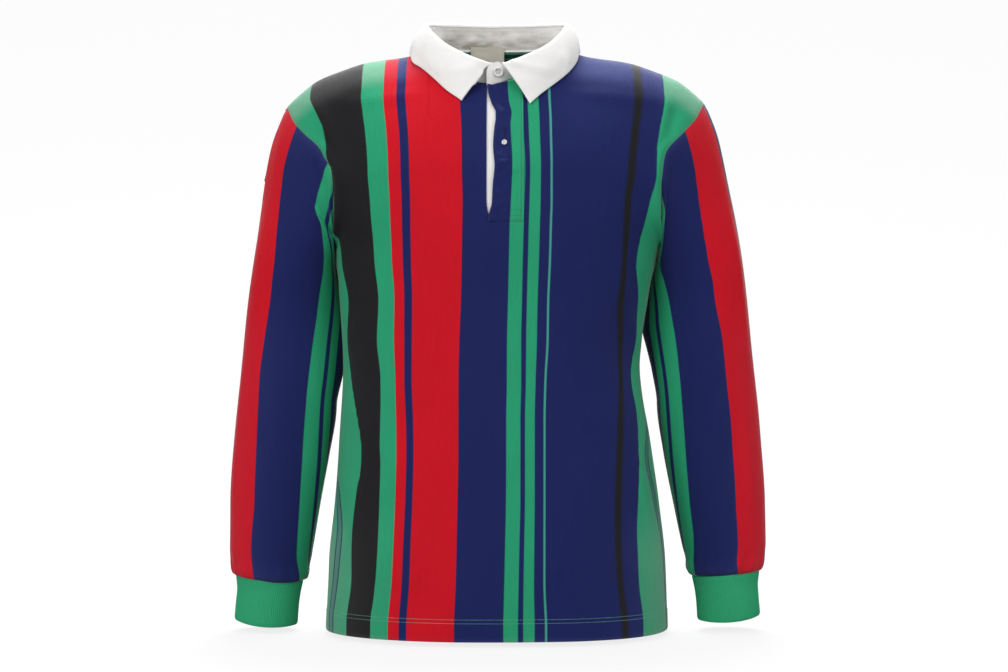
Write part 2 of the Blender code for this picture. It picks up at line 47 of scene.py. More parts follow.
# the form of the worn shirt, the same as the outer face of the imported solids
trunkTable = table(
    "z right left front back seamY square",
    (-717, 217, 216, 136, 134, 4, 2.35),
    (-632, 213, 213, 134, 133, 5, 2.30),
    (-556, 206, 205, 130, 130, 5, 2.30),
    (-480, 201, 194, 127, 127, 6, 2.30),
    (-385, 196, 180, 124, 122, 7, 2.30),
    (-309, 200, 190, 124, 120, 8, 2.30),
    (-238, 206, 205, 125, 118, 8, 2.25),
    (-190, 242, 242, 125, 118, 9, 2.10),
    (-150, 272, 272, 124, 118, 10, 2.00),
)
shoulderTable = table(
    "x z y",
    (0, 44, 0), (48, 36, 0), (84, 18, 1), (112, 7, 2), (165, -1, 5),
    (200, -12, 8), (228, -23, 10), (250, -39, 12), (266, -53, 14), (273, -59.5, 15),
)
leanTable = table(  # how the sections between chest and shoulder lean over
    "x frontUp frontLevel backUp backLevel",
    (0, 0.25, 0.12, 0.45, 0.45),
    (84, 0.35, 0.30, 0.50, 0.50),
    (190, 0.50, 0.55, 0.55, 0.55),
    (266, 0.55, 0.60, 0.55, 0.60),
)
armholeTable = table(  # droop: how much further out the wearer's right armhole lies
    "rise front back droop",
    (0.00, 206, 206, 0),
    (0.06, 206, 208, 0),
    (0.17, 204, 209, 0),
    (0.32, 203, 212, 0),
    (0.39, 204.6, 218.3, 0),
    (0.45, 208, 226, 8),
    (0.56, 233, 240, 8),
    (0.67, 250, 250, 7),
    (0.78, 258, 257, 6),
    (0.89, 262.5, 262, 5.5),
    (1.00, 266, 266, 5),
)
ringColumns = "along outerX outerZ innerX innerZ front back centreY"
sleeveTable = table(
    ringColumns,
    (0.00, 266, -53, 206, -238, 72, 78, 12),
    (0.06, 283, -99, 209, -249, 66, 74, 13),
    (0.15, 295, -160, 211, -270, 62, 68, 14),
    (0.27, 307, -228, 208.5, -312, 60, 64, 16),
    (0.40, 316, -296, 203.5, -362, 58, 61, 17),
    (0.55, 326, -392, 205, -436, 55, 57, 18),
    (0.70, 334, -472, 214, -500, 51, 53, 17),
    (0.85, 340, -562, 227.5, -572, 47, 49, 16),
    (0.94, 340.5, -615, 237.5, -622, 43, 45, 15),
    (1.00, 335.5, -651, 245.5, -658, 38.5, 39.5, 14),
)
cuffTable = table(
    ringColumns,
    (0.0, 332, -651.5, 250, -658.5, 35.5, 36.5, 14),
    (0.3, 330, -670, 254, -677, 34, 35, 13),
    (0.6, 331, -685, 256, -692, 34, 35, 12.5),
    (1.0, 333, -708, 257.5, -715, 34, 35, 12),
)
bodySizes = {"hem": -717, "underarm": -238, "chest": -150, "chestPace": 150, "cloth": 1.2}
neckSizes = {"half": 84, "front": -38, "back": 21, "side": 18, "power": 2.2}
placketSizes = {"underRight": -24, "slitRight": -13, "slitLeft": -2, "underLeft": 8, "bandLeft": 32,
                "slitBottom": -209.5, "foot": -211}
sleeveSizes = {"armholeFade": 0.35, "leftLift": 6.0, "rows": 220}
gridSizes = {"below": 120, "above": 72, "side": 46}  # rows below and above the underarm, cells by the neck


def through(xs, ys, at):  # a smooth curve through set values that never overshoots them
    xs, ys, at = np.asarray(xs, float), np.asarray(ys, float), np.asarray(at, float)
    step = np.diff(xs)
    slope = np.diff(ys) / step
    before, after = slope[:-1], slope[1:]
    mean = 2 * before * after / np.where(before + after == 0, 1, before + after)
    tangent = np.concatenate([slope[:1], np.where(before * after > 0, mean, 0), slope[-1:]])
    i = np.clip(np.searchsorted(xs, at, side="right") - 1, 0, len(step) - 1)
    t = np.clip((at - xs[i]) / step[i], 0, 1)
    start = (1 + 2 * t) * (1 - t) ** 2 * ys[i] + t * (1 - t) ** 2 * step[i] * tangent[i]
    return start + t**2 * (3 - 2 * t) * ys[i + 1] - t**2 * (1 - t) * step[i] * tangent[i + 1]


def column(values, name, at):
    return through(next(iter(values.values())), values[name], at)


def smoothStep(t):
    t = np.clip(t, 0, 1)
    return t * t * (3 - 2 * t)


def hump(distance, width):  # 1 at no distance, fading softly to nothing
    return np.exp(-((distance / width) ** 2))


def unit(vectors):
    return vectors / np.maximum(np.linalg.norm(vectors, axis=-1, keepdims=True), 1e-9)


def form(x, row, back):  # row 0 is the chest, row 1 the shoulder line
    t = np.clip(row, 0, 1)
    side = "back" if back else "front"
    up, level = column(leanTable, side + "Up", np.abs(x)), column(leanTable, side + "Level", np.abs(x))
    a, b, c, d = (1 - t) ** 3, 3 * (1 - t) ** 2 * t, 3 * (1 - t) * t**2, t**3
    rise, depth = b * up + c + d, a + b + c * level
    chest, top = bodySizes["chest"], column(shoulderTable, "z", np.abs(x))
    z = np.where(row < 0, chest + bodySizes["chestPace"] * row, chest + (top - chest) * rise)
    low = np.minimum(z, chest)
    half = np.where(x < 0, column(trunkTable, "right", low), column(trunkTable, "left", low))
    square = column(trunkTable, "square", low)
    bulge = np.clip(1 - (np.abs(x) / half) ** square, 0, 1) ** (1 / square)
    y = column(trunkTable, "seamY", low) + column(trunkTable, side, low) * bulge * (1 if back else -1)
    ridge = column(shoulderTable, "y", np.abs(x))
    return np.stack([x, np.where(row < 0, y, ridge + (y - ridge) * depth), z], axis=-1)


def neckRows(back):  # where the neck seam cuts each column of the form
    xs = np.linspace(0, neckSizes["half"] - 0.01, 120)
    arch = (1 - (xs / neckSizes["half"]) ** neckSizes["power"]) ** 0.5
    heights = neckSizes["side"] + (neckSizes["back" if back else "front"] - neckSizes["side"]) * arch
    steps = np.linspace(0, 1, 161)
    rows = [np.interp(h, form(np.full_like(steps, x), steps, back)[:, 2], steps) for x, h in zip(xs, heights)]
    return xs, np.array(rows)


neckTops = {back: neckRows(back) for back in (False, True)}


def topRow(x, back):
    return np.where(np.abs(x) < neckSizes["half"], np.interp(np.abs(x), *neckTops[back]), 1.0)


def paced(grid, axis=0):  # how far along its line each point of a line or a grid lies
    steps = np.linalg.norm(np.diff(grid, axis=axis), axis=-1)
    return np.concatenate([0 * np.take(steps, [0], axis), np.cumsum(steps, axis)], axis)


def fromEdges(grid):  # distance of each point from the nearer end of its row, the top row and the bottom row
    far, height = paced(grid, 1), paced(grid)
    return np.minimum(far, far[:, -1:] - far), height[-1:] - height, height


def crowded(count, start, end, edge=0.12):  # 0 to 1, with steps that shorten at a start or end seam
    t = np.linspace(0, 1, count + 1)
    for wanted in (start, end):
        if wanted:
            t = t - (1 - edge) * np.exp(-t * count / 2.5) * t * (1 - t)
        t = 1 - t[::-1]
    return t


def alongRow(line, marks, stops):  # points of a dense line, with set shares of each stretch between marks
    far = paced(line)
    at = np.interp([line[0, 0], *marks, line[-1, 0]], line[:, 0], far)
    at[0], at[-1] = 0, far[-1]
    places = np.concatenate([a + (b - a) * share[:-1] for a, b, share in zip(at, at[1:], stops)] + [far[-1:]])
    return resampled(line, far, places)


def resampled(values, places, at):
    return np.stack([np.interp(at, places, values[:, k]) for k in range(values.shape[1])], axis=1)


def spread(halfRight, halfLeft):
    turn = np.sin(np.linspace(-math.pi / 2, math.pi / 2, 481))
    wide = np.where(turn < 0, turn * halfRight, turn * halfLeft)
    neck = neckSizes["half"] * np.sin(np.linspace(-math.pi / 2, math.pi / 2, 181))
    return np.unique(np.concatenate([wide, neck[np.abs(neck) < min(halfRight, halfLeft)]]))


lowShares = crowded(gridSizes["below"], True, False)
levels = bodySizes["hem"] + (bodySizes["underarm"] - bodySizes["hem"]) * lowShares
rises = crowded(gridSizes["above"], False, True)[1:]
sideStops = crowded(gridSizes["side"], True, False)
underarmRow = len(levels) - 1


def rowAt(z):  # a level below the chest as a row of the form
    return (z - bodySizes["chest"]) / bodySizes["chestPace"]


def panelGrid(back, marks, cells):
    stops = [sideStops, *(np.linspace(0, 1, n + 1) for n in cells), 1 - sideStops[::-1]]
    rows = []
    for z in levels:
        x = spread(column(trunkTable, "right", z), column(trunkTable, "left", z))
        rows.append(alongRow(form(x, np.full_like(x, rowAt(z)), back), marks, stops))
    start = rowAt(bodySizes["underarm"])
    for rise in rises:
        half = column(armholeTable, "back" if back else "front", rise)
        x = spread(half + column(armholeTable, "droop", rise), half)
        rows.append(alongRow(form(x, start + (topRow(x, back) - start) * rise, back), marks, stops))
    return np.array(rows)


def normalsOf(grid, wrap=False):
    beside = np.roll(grid, -1, axis=1) - np.roll(grid, 1, axis=1) if wrap else np.gradient(grid, axis=1)
    return unit(np.cross(beside, np.gradient(grid, axis=0)))


def ringOf(shape, along, turns, side):  # a ring of a sleeve or cuff: turn 0 is outside, 0.25 in front
    value = {name: column(shape, name, along) for name in shape}
    outer, inner = (np.array([value[edge + "X"], 0, value[edge + "Z"]]) for edge in ("outer", "inner"))
    angle = turns * 2 * math.pi
    points = (outer + inner) / 2 + np.cos(angle)[:, None] * (outer - inner) / 2
    depth = np.where(turns < 0.5, -value["front"], value["back"])
    points[:, 1] = value["centreY"] + np.abs(np.sin(angle)) * depth
    if side > 0:
        points[:, 2] += sleeveSizes["leftLift"] * (smoothStep(along) if shape is sleeveTable else 1)
    return points * (side, 1, 1)


def creased(across, z, creases):  # soft ridges (and troughs): x0, z0, x1, z1, width and height of each
    total = np.zeros(np.broadcast(across, z).shape)
    for x0, z0, x1, z1, width, height in creases:
        dx, dz = x1 - x0, z1 - z0
        t = ((across - x0) * dx + (z - z0) * dz) / (dx**2 + dz**2)
        off = ((across - x0) * dz - (z - z0) * dx) / math.hypot(dx, dz)
        total += height * hump(off, width) * smoothStep(t / 0.35) * smoothStep((1 - t) / 0.35)
    return total


def waves(across, z, size, seed):  # slow unevenness, about 1 high at most
    dice = np.random.default_rng(seed)
    total = 0
    for _ in range(7):
        turn, phase, share = dice.uniform(0, math.pi), dice.uniform(0, 2 * math.pi), dice.uniform(0.7, 1.6)
        far = across * math.cos(turn) + z * math.sin(turn) * 0.6
        total = total + np.sin(far * 2 * math.pi / (size * share) + phase)
    return total / 4


def added(name, data):  # a new object at the origin
    made = bpy.data.objects.new(name, data)
    bpy.context.scene.collection.objects.link(made)
    return made


def solid(name, points, faces, stuff, sharp=45):
    mesh = bpy.data.meshes.new(name)
    mesh.from_pydata((np.asarray(points, float) * mm).tolist(), [], faces)
    mesh.shade_smooth()
    mesh.set_sharp_from_angle(angle=math.radians(sharp))
    mesh.materials.append(stuff)
    return added(name, mesh)


def clothWall(name, stuff, outer, normals, thick, uv, wearAndPaintedLight, wrap=False, missing=None, wearAndPaintedLightInside=None):
    rows, columns = outer.shape[:2]
    cells = np.ones((rows - 1, columns if wrap else columns - 1), bool)
    if missing is not None:
        cells &= ~missing
    outerId = np.arange(rows * columns).reshape(rows, columns)
    if wrap:
        outerId = np.concatenate([outerId, outerId[:, :1]], axis=1)
    uvId = np.arange(outerId.size).reshape(outerId.shape)
    count = rows * columns
    r, c = np.nonzero(cells)
    corners = [(r, c), (r, c + 1), (r + 1, c + 1), (r + 1, c)]
    ids, uvs = (np.stack([each[a, b] for a, b in corners], axis=1) for each in (outerId, uvId))
    faces, faceUv = [ids, ids[:, [0, 3, 2, 1]] + count], [uvs, uvs[:, [0, 3, 2, 1]]]
    around = np.pad(cells, ((1, 1), (0, 0)))
    around = np.pad(around, ((0, 0), (1, 1)), mode="wrap" if wrap else "constant")
    for k, (dr, dc) in enumerate(((-1, 0), (0, 1), (1, 0), (0, -1))):  # rims, where a cell has no neighbour
        free = ~around[r + 1 + dr, c + 1 + dc]
        a, b = ids[free, k], ids[free, (k + 1) % 4]
        ua, ub = uvs[free, k], uvs[free, (k + 1) % 4]
        faces.append(np.stack([b, a, a + count, b + count], axis=1))
        faceUv.append(np.stack([ub, ua, ua, ub], axis=1))
    faces, faceUv = np.concatenate(faces), np.concatenate(faceUv)
    points = np.concatenate([outer.reshape(-1, 3), (outer - normals * thick).reshape(-1, 3)])
    sample = faces[len(faces) // 5]
    facing = np.cross(points[sample[1]] - points[sample[0]], points[sample[2]] - points[sample[0]])
    if np.dot(facing, normals.reshape(-1, 3)[sample[0] % count]) < 0:
        faces, faceUv = faces[:, ::-1], faceUv[:, ::-1]
    used, index = np.unique(faces, return_inverse=True)
    piece = solid(name, points[used], index.reshape(faces.shape).tolist(), stuff, 60)
    layer = piece.data.uv_layers.new(name="cloth")
    layer.data.foreach_set("uv", uv.reshape(-1, 2)[faceUv.reshape(-1)].astype(np.float32).ravel())
    wornAndPaintedLight = np.concatenate([wearAndPaintedLight.reshape(-1), (wearAndPaintedLight if wearAndPaintedLightInside is None else wearAndPaintedLightInside).reshape(-1)])[used]
    piece.data.attributes.new("wearAndPaintedLight", "FLOAT", "POINT").data.foreach_set("value", wornAndPaintedLight.astype(np.float32))
    piece.data.update()
    return piece




def operator(kind):  # an operator of Wire and its reflected form
    return (lambda self, other: self.maths(kind, self, other),
            lambda self, other: self.maths(kind, other, self))


class Wire:  # one socket of a node tree, so that maths on it reads as a sum
    __add__, __radd__ = operator("ADD")
    __sub__, __rsub__ = operator("SUBTRACT")
    __mul__, __rmul__ = operator("MULTIPLY")
    __truediv__, __rtruediv__ = operator("DIVIDE")

    def __init__(self, tree, socket=None):
        self.tree, self.socket = tree, socket

    def node(self, kind, settings=None, sockets=None, out=0):
        made = self.tree.nodes.new(kind)
        for name, value in (settings or {}).items():
            setattr(made, name, value)
        for name, value in (sockets or {}).items():
            if isinstance(value, Wire):
                self.tree.links.new(value.socket, made.inputs[name])
            else:
                made.inputs[name].default_value = value
        return Wire(self.tree, made.outputs[out])

    def maths(self, operation, *values):
        kinds = [v.socket.type for v in values if isinstance(v, Wire)]
        if "VECTOR" in kinds or "RGBA" in kinds:
            values = [v if isinstance(v, (Wire, tuple)) else (v, v, v) for v in values]
            return self.node("ShaderNodeVectorMath", {"operation": operation}, dict(enumerate(values)))
        return self.node("ShaderNodeMath", {"operation": operation}, dict(enumerate(values)))

    def __abs__(self):
        return self.maths("ABSOLUTE", self)

    def sine(self):
        return self.maths("SINE", self)

    def clamped(self):
        return self.node("ShaderNodeClamp", {}, {0: self})

    def tripled(self):
        return self.node("ShaderNodeCombineXYZ", {}, {0: self, 1: self, 2: self})

    def scaled(self, number):
        return self.node("ShaderNodeVectorMath", {"operation": "SCALE"}, {0: self, "Scale": number})

    def blended(self, share, other):  # this colour turning into the other
        return self.node("ShaderNodeMix", {"data_type": "RGBA"}, {0: share, 6: self, 7: other}, 2)

    def feeds(self, shader, name):
        self.tree.links.new(self.socket, shader.inputs[name])


def srgb(*colour):
    return tuple((v / 255 / 12.92) if v < 11 else ((v / 255 + 0.055) / 1.055) ** 2.4 for v in colour)


def finish(name, roughness, sheen, shine=0.12):
    made = bpy.data.materials.new(name)
    made.use_nodes = True
    shader = made.node_tree.nodes["Principled BSDF"]
    values = {
        "Roughness": roughness, "Sheen Weight": sheen, "Sheen Roughness": 0.3, "Specular IOR Level": shine,
    }
    for socket, value in values.items():
        shader.inputs[socket].default_value = value
    return made, shader, Wire(made.node_tree)


def across(start):  # where on the flat cloth, in millimetres
    place = start.node("ShaderNodeUVMap", {"uv_map": "cloth"})
    return [place.node("ShaderNodeSeparateXYZ", {}, {0: place}, k) for k in (0, 1)]


def uneven(u, v, scaleU, scaleV, detail=2.0, seed=0.0):  # noise of the cloth's own coordinates, 0 to 1
    place = u.node("ShaderNodeCombineXYZ", {}, {0: u * scaleU, 1: v * scaleV, 2: seed})
    sockets = {"Vector": place, "Scale": 1.0, "Detail": detail}
    return u.node("ShaderNodeTexNoise", {"noise_dimensions": "3D"}, sockets)


def wearAndPaintedLightAt(start):
    return start.node("ShaderNodeAttribute", {"attribute_name": "wearAndPaintedLight"}, {}, 2)


def bumps(shader, *layers):  # bumps one over another: height, strength, and depth in metres
    under = {}
    for height, strength, depth in layers:
        sockets = {"Strength": strength, "Distance": depth, "Height": height, **under}
        under = {"Normal": height.node("ShaderNodeBump", {}, sockets)}
    under["Normal"].feeds(shader, "Normal")


yarn = {
    "green": srgb(40, 152, 110), "black": srgb(30, 30, 32), "red": srgb(198, 17, 34),
    "navy": srgb(27, 35, 88), "thinGreen": srgb(66, 152, 138), "teal": srgb(48, 112, 104),
    "inkGreen": srgb(18, 52, 70),
}
bleachedAndLit = {  # the same yarns where the shirt is most washed out, and where a highlight is painted on
    "green": srgb(131, 177, 152), "black": srgb(78, 77, 78), "red": srgb(199, 52, 68),
    "navy": srgb(74, 82, 134), "thinGreen": srgb(122, 160, 150), "teal": srgb(122, 160, 150),
    "inkGreen": srgb(70, 98, 112),
}
trimColours = {
    "white": srgb(234, 233, 231), "rib": srgb(49, 160, 112), "tape": srgb(14, 78, 54),
    "label": srgb(182, 179, 166), "grimeAndPaintedShade": srgb(134, 129, 121), "pearl": srgb(240, 240, 238),
    "pearlWarm": srgb(204, 200, 196), "tealThread": srgb(112, 168, 150), "greenThread": srgb(30, 122, 88),
    "navyThread": srgb(40, 44, 98), "whiteThread": srgb(224, 223, 220),
}
# stripes: how far across each ends, its yarn, and how soft that edge is
frontStripes = (
    (-255, "green", 1), (-252, "inkGreen", 1), (-241.5, "teal", 1), (-238.5, "inkGreen", 1),
    (-205, "green", 1), (-150, "black", 1), (-128, "green", 1), (-115, "red", 1), (-105, "navy", 1),
    (-46, "red", 1), (12, "navy", 1), (29, "green", 1), (35, "navy", 1), (47.5, "green", 1),
    (59, "navy", 1), (61.6, "thinGreen", 1), (159.2, "navy", 4), (168.8, "black", 4), (192, "navy", 1),
    (238.5, "green", 1), (241.5, "inkGreen", 1), (251, "teal", 1), (254, "inkGreen", 1),
    (400, "green", 1),
)
sleeveStripes = (
    (-148, "green", 1), (-141, "navy", 1), (-119, "green", 1), (0, "navy", 1), (60, "red", 1),
    (119, "navy", 1), (141, "green", 1), (148, "navy", 1), (162, "green", 1), (400, "navy", 1),
)
jerseySizes = {"wale": 1.3, "course": 1.0, "knitBump": 0.26, "streak": 0.20, "mottle": 0.16, "grain": 0.08}
pearlSizes = {"shine": 0.5, "coat": 0.5, "coatRoughness": 0.15, "cloud": 260.0, "scratch": 1500.0}


def striped(u, stripes, colours):
    base = u.node("ShaderNodeRGB")
    base.socket.default_value = (*colours[stripes[0][1]], 1)
    for (upTo, _, soft), (_, following, _) in zip(stripes, stripes[1:]):
        base = base.blended(((u - upTo) / soft + 0.5).clamped(), (*colours[following], 1))
    return base


def jerseyFinish(name, stripes):  # washed cotton jersey: dyed yarns, wales and courses, lighter where worn and where light is painted on
    made, shader, start = finish(name, 0.85, 0.36)
    size = jerseySizes
    u, v = across(start)
    streaks = uneven(u, v, 0.9, 0.02, 3.0) - 0.5
    mottle = uneven(u, v, 0.016, 0.012, 3.0, 4.0) - 0.5
    grain = uneven(u, v, 0.55, 0.45, 2.0, 9.0) - 0.5
    light = 1.0 + streaks * size["streak"] + mottle * size["mottle"] + grain * size["grain"]
    wornAndPaintedLight = wearAndPaintedLightAt(start) * (0.6 + uneven(u, v, 0.35, 0.12, 3.0, 2.0) * 0.4 + mottle * 0.5)
    colour = striped(u, stripes, yarn) * light.tripled()
    colour.blended(wornAndPaintedLight.clamped(), striped(u, stripes, bleachedAndLit)).feeds(shader, "Base Color")
    wale = abs((u * (math.pi / size["wale"])).sine())
    course = (v * (2 * math.pi / size["course"]) + wale * 2.2).sine()
    knit = wale * 0.6 + course * 0.25 + uneven(u, v, 1.6, 1.2, 2.0, 5.0) * 0.8
    bumps(shader, (knit, size["knitBump"], 0.0004), (uneven(u, v, 0.05, 0.03, 3.0, 7.0), 0.35, 0.003))
    return made


def ribFinish(name):  # the ribs themselves are in the mesh
    made, shader, start = finish(name, 0.88, 0.18)
    u, v = across(start)
    light = 1.0 + (uneven(u, v, 0.5, 0.05, 3.0) - 0.5) * 0.12
    light = light + (uneven(u, v, 0.02, 0.03, 2.0, 3.0) - 0.5) * 0.10
    (light.tripled() * trimColours["rib"]).feeds(shader, "Base Color")
    loops = (v * (2 * math.pi / 0.9)).sine() * 0.4 + uneven(u, v, 1.5, 1.5, 2.0, 6.0)
    bumps(shader, (loops, 0.25, 0.0004))
    return made


def twillFinish(name, colour, turn=(1.0, 1.0), pitch=0.8, strength=0.2):  # fine woven lines, a bit crumpled
    made, shader, start = finish(name, 0.75, 0.05)
    u, v = across(start)
    light = 1.0 + (uneven(u, v, 0.03, 0.03, 3.0) - 0.5) * 0.05
    light = light + (uneven(u, v, 0.8, 0.8, 2.0, 3.0) - 0.5) * 0.04
    base = light.tripled() * trimColours[colour]
    # turning to the grime colour where the wear channel says: soiled edges, the inside of the stand, and
    # painted shade on the collar's roll
    grimeAndPaintedShade = wearAndPaintedLightAt(start) * (uneven(u, v, 0.04, 0.09, 4.0, 6.0) * 1.7 + 0.05)
    base.blended(grimeAndPaintedShade.clamped(), (*trimColours["grimeAndPaintedShade"], 1)).feeds(shader, "Base Color")
    lines = ((u * turn[0] + v * turn[1]) * (2 * math.pi / pitch)).sine() * 0.5
    lines = lines + uneven(u, v, 1.2, 1.2, 2.0, 5.0)
    bumps(shader, (lines, strength, 0.0003), (uneven(u, v, 0.06, 0.06, 3.0, 8.0), 0.4, 0.002))
    return made


def threadFinish(name):  # twisted sewing thread, read from where it lies
    made, shader, start = finish(name, 0.6, 0.1)
    place = start.node("ShaderNodeTexCoord", {}, {}, 3)
    tone = place.node("ShaderNodeTexNoise", {}, {"Vector": place, "Scale": 900.0, "Detail": 2.0})
    ((0.9 + tone * 0.2).tripled() * trimColours[name]).feeds(shader, "Base Color")
    sockets = {"Vector": place, "Scale": 700.0, "Distortion": 0.5}
    bumps(shader, (place.node("ShaderNodeTexWave", {"bands_direction": "DIAGONAL"}, sockets), 0.4, 0.0001))
    return made


def pearlFinish(name):  # pearly white plastic with soft clouds in it
    made, shader, start = finish(name, 0.28, 0.0, pearlSizes["shine"])
    shader.inputs["Coat Weight"].default_value = pearlSizes["coat"]
    shader.inputs["Coat Roughness"].default_value = pearlSizes["coatRoughness"]
    place = start.node("ShaderNodeTexCoord", {}, {}, 3)
    sockets = {"Vector": place, "Scale": pearlSizes["cloud"], "Detail": 3.0, "Distortion": 1.5}
    cloud = place.node("ShaderNodeTexNoise", {}, sockets)
    ends = {0: cloud, 6: (*trimColours["pearl"], 1), 7: (*trimColours["pearlWarm"], 1)}
    cloud.node("ShaderNodeMix", {"data_type": "RGBA"}, ends, 2).feeds(shader, "Base Color")
    sockets = {"Vector": place, "Scale": pearlSizes["scratch"], "Detail": 2.0}
    scratches = place.node("ShaderNodeTexNoise", {}, sockets)
    bumps(shader, (scratches, 0.08, 0.0001))
    return made


finishes = {
    "front": jerseyFinish("stripedJerseyFront", frontStripes),
    "sleeve": jerseyFinish("stripedJerseySleeve", sleeveStripes),
    "rib": ribFinish("greenRib"),
    "collar": twillFinish("whiteTwill", "white"),
    "tape": twillFinish("greenTape", "tape", (1.0, -1.0), 1.4, 0.4),
    "label": twillFinish("blankWovenLabel", "label", (0.0, 1.0), 0.6, 0.4),
    "button": pearlFinish("pearlyButton"),
    **{name: threadFinish(name) for name in ("tealThread", "greenThread", "navyThread", "whiteThread")},
}
print("finishes made")

# front and back
frontCells = {"neckRight": 15, "underRight": 3, "slitRight": 3, "slitLeft": 3, "underLeft": 6, "bandLeft": 13}
frontColumns = dict(zip([*frontCells, "neckLeft"], gridSizes["side"] + np.cumsum([0, *frontCells.values()])))
backCells = (21, 21)
backColumns = (gridSizes["side"], gridSizes["side"] + sum(backCells))
slitColumn = frontColumns["slitRight"]
frontMarks = [placketSizes[name] for name in ("underRight", "slitRight", "slitLeft", "underLeft", "bandLeft")]
frontGrid = panelGrid(False, (-neckSizes["half"], *frontMarks, neckSizes["half"]), frontCells.values())
backGrid = panelGrid(True, (-neckSizes["half"], 0, neckSizes["half"]), backCells)
slitTable = table("z aside", (-240, 0), (-225, 2.2), (-203, 2.6), (-194, 1.0), (-181, 0), (-38, 0))
nearSlit = hump(frontGrid[..., 0] - placketSizes["slitRight"], 3.5)  # the slit's foot ends a little aslant
frontGrid[..., 0] += column(slitTable, "aside", frontGrid[..., 2]) * nearSlit
print("panel grids", frontGrid.shape, backGrid.shape)

# creases: x0, z0, x1, z1, width, height
frontCreases = (
    (-222, -52, -203, -125, 7, 3.4), (-196, -50, -186, -135, 9, -2.2), (-206, -120, -202, -235, 7, 1.8),
    (-190, -70, -180, -170, 13, -1.8), (212, -42, 202, -125, 6, 3.4), (201, -115, 192, -232, 7, 2.0),
    (228, -52, 209, -118, 8, -4.6), (118, -245, 166, -405, 15, -1.8), (140, -245, 184, -390, 13, 1.6),
    (176, -320, 178, -455, 12, 2.4), (168, -470, 196, -600, 6, 1.8), (186, -480, 208, -600, 8, -1.8),
    (-152, -425, -142, -510, 8, 1.6), (-178, -440, -184, -545, 12, -2.6), (-206, -520, -214, -660, 9, 2.0),
    (-160, -250, -150, -400, 16, 1.4), (70, -44, 222, -60, 9, 2.0), (-222, -66, -70, -44, 9, 2.0),
    (-60, -330, -20, -560, 30, 1.2), (60, -300, 30, -600, 34, 1.4), (100, -480, 120, -690, 20, 1.2),
)
backCreases = (
    (-190, -160, -90, -420, 24, 3.0), (190, -170, 100, -380, 24, 3.0), (-206, -52, -190, -132, 8, 2.8),
    (-186, -60, -172, -150, 11, -2.0), (206, -48, 192, -126, 7, 3.0), (184, -62, 170, -165, 12, -2.0),
    (-204, -120, -200, -235, 7, 1.8), (202, -115, 195, -232, 7, 2.0), (-166, -290, -178, -450, 13, 2.4),
    (-182, -450, -196, -600, 8, -2.4), (172, -330, 180, -470, 12, 2.4), (168, -470, 198, -610, 7, 1.8),
    (-146, -420, -138, -520, 8, 1.6), (206, -520, 212, -660, 9, 2.0), (-222, -66, -70, -44, 9, 2.0),
    (70, -44, 222, -60, 9, 2.0), (-64, -340, -24, -580, 30, 1.8), (74, -300, 36, -610, 34, 2.0),
    (-112, -470, -126, -690, 20, 1.6), (112, -490, 128, -690, 18, 1.5),
)
hemSizes = {"fold": 29.0, "stitched": 27.0, "lowerStitches": 22.5, "ply": 0.5, "pull": 0.6, "edge": 0.5}
# the panels swell beside the lower half of each armhole
edgeRoll = {"height": 5.0, "away": 9.0, "wide": 6.0, "top": -95, "foot": -280}
tiltSizes = {"overLow": -1.7, "overSlope": 0.35, "under": 5.0, "wide": 16}
foldSizes = {"slow": 1.2, "slowLong": 150, "fine": 0.35, "fineLong": 45, "calm": 25}
# how far the painted highlight over the shoulders and sleeve tops and the painted light down the sides reach,
# and the most any point turns pale
fadeAndPaintedLightSizes = {"low": -46.0, "deep": 26.0, "flank": 80.0, "sleeveLow": -84.0, "sleeveDeep": 36.0,
             "shoulder": 0.8, "most": 1.1}
stripeFrame = {"half": 275, "levels": 12}  # the level sections that stripes are measured round
# how far the front's stripe edges stray sideways on the worn shirt; each column is named by its edge's place
frontDrift = table(
    "z -240 -205 -150 -116 -46 30 60 164 192 240",
    (-692, 12, 7, -10, -6, -6, -4, -1, -4, -3, 15),
    (-644, 22, 14, -3, -2, -4, -3, -3, -10, -9, 8),
    (-595, 27, 13, 0, 0, -3, -2, -3, -12, -10, 1),
    (-547, 12, 18, 1, 2, -2, -1, -3, -11, -5, -12),
    (-499, -30, 27, 2, 3, -1, -1, -3, -8, -1, -32),
    (-451, -30, 19, 2, 2, -1, -1, -3, -4, 3, -10),
    (-402, -30, 4, 2, 0, -1, 0, -2, 2, -6, 30),
    (-353, -30, -6, -2, 0, 0, 0, 1, 1, 2, 30),
    (-304, -30, 1, 0, 0, 2, 1, 2, -4, 3, 30),
    (-255, -30, -14, -6, -2, 3, 2, 4, 1, -8, 30),
    (-215, -30, -16, -8, -3, 3.5, 3, 5, 0, -3, 30),
    (-182, -30, -5, -9, -3, 4, 4, 6, -1, 2, 30),
    (-146, -34, -9, -11, -4, 3, 5, 6, 3, 7, 30),
    (-95, -42, -7, -9, -2, 4, 2, 3, 2, 5, 30),
    (-51, -46, -28, -13, -5, 2, 0, 1, 5, 12, 30),
)


def hemProfile(height):  # the turned hem: double cloth below the stitches, which pull it in
    turned = hemSizes["ply"] * smoothStep((hemSizes["fold"] - height) / 1.5 + 0.5)
    pulled = hemSizes["pull"] * hump(height - hemSizes["stitched"], 1.6)
    return turned - pulled - hemSizes["edge"] * hump(height, 1.2)


def rolled(part):
    z = part["grid"][..., 2]
    here = smoothStep((edgeRoll["top"] - z) / 40) * smoothStep((z - edgeRoll["foot"]) / 50)
    return edgeRoll["height"] * hump(part["side"] - edgeRoll["away"], edgeRoll["wide"]) * here


def seamDip(distance, deep=0.9, wide=2.2):
    return -deep * hump(distance, wide)


def overTilt(x):
    rise = tiltSizes["overLow"] + tiltSizes["overSlope"] * (x - placketSizes["slitRight"])
    return rise * (1 - smoothStep((x - 14) / 44))


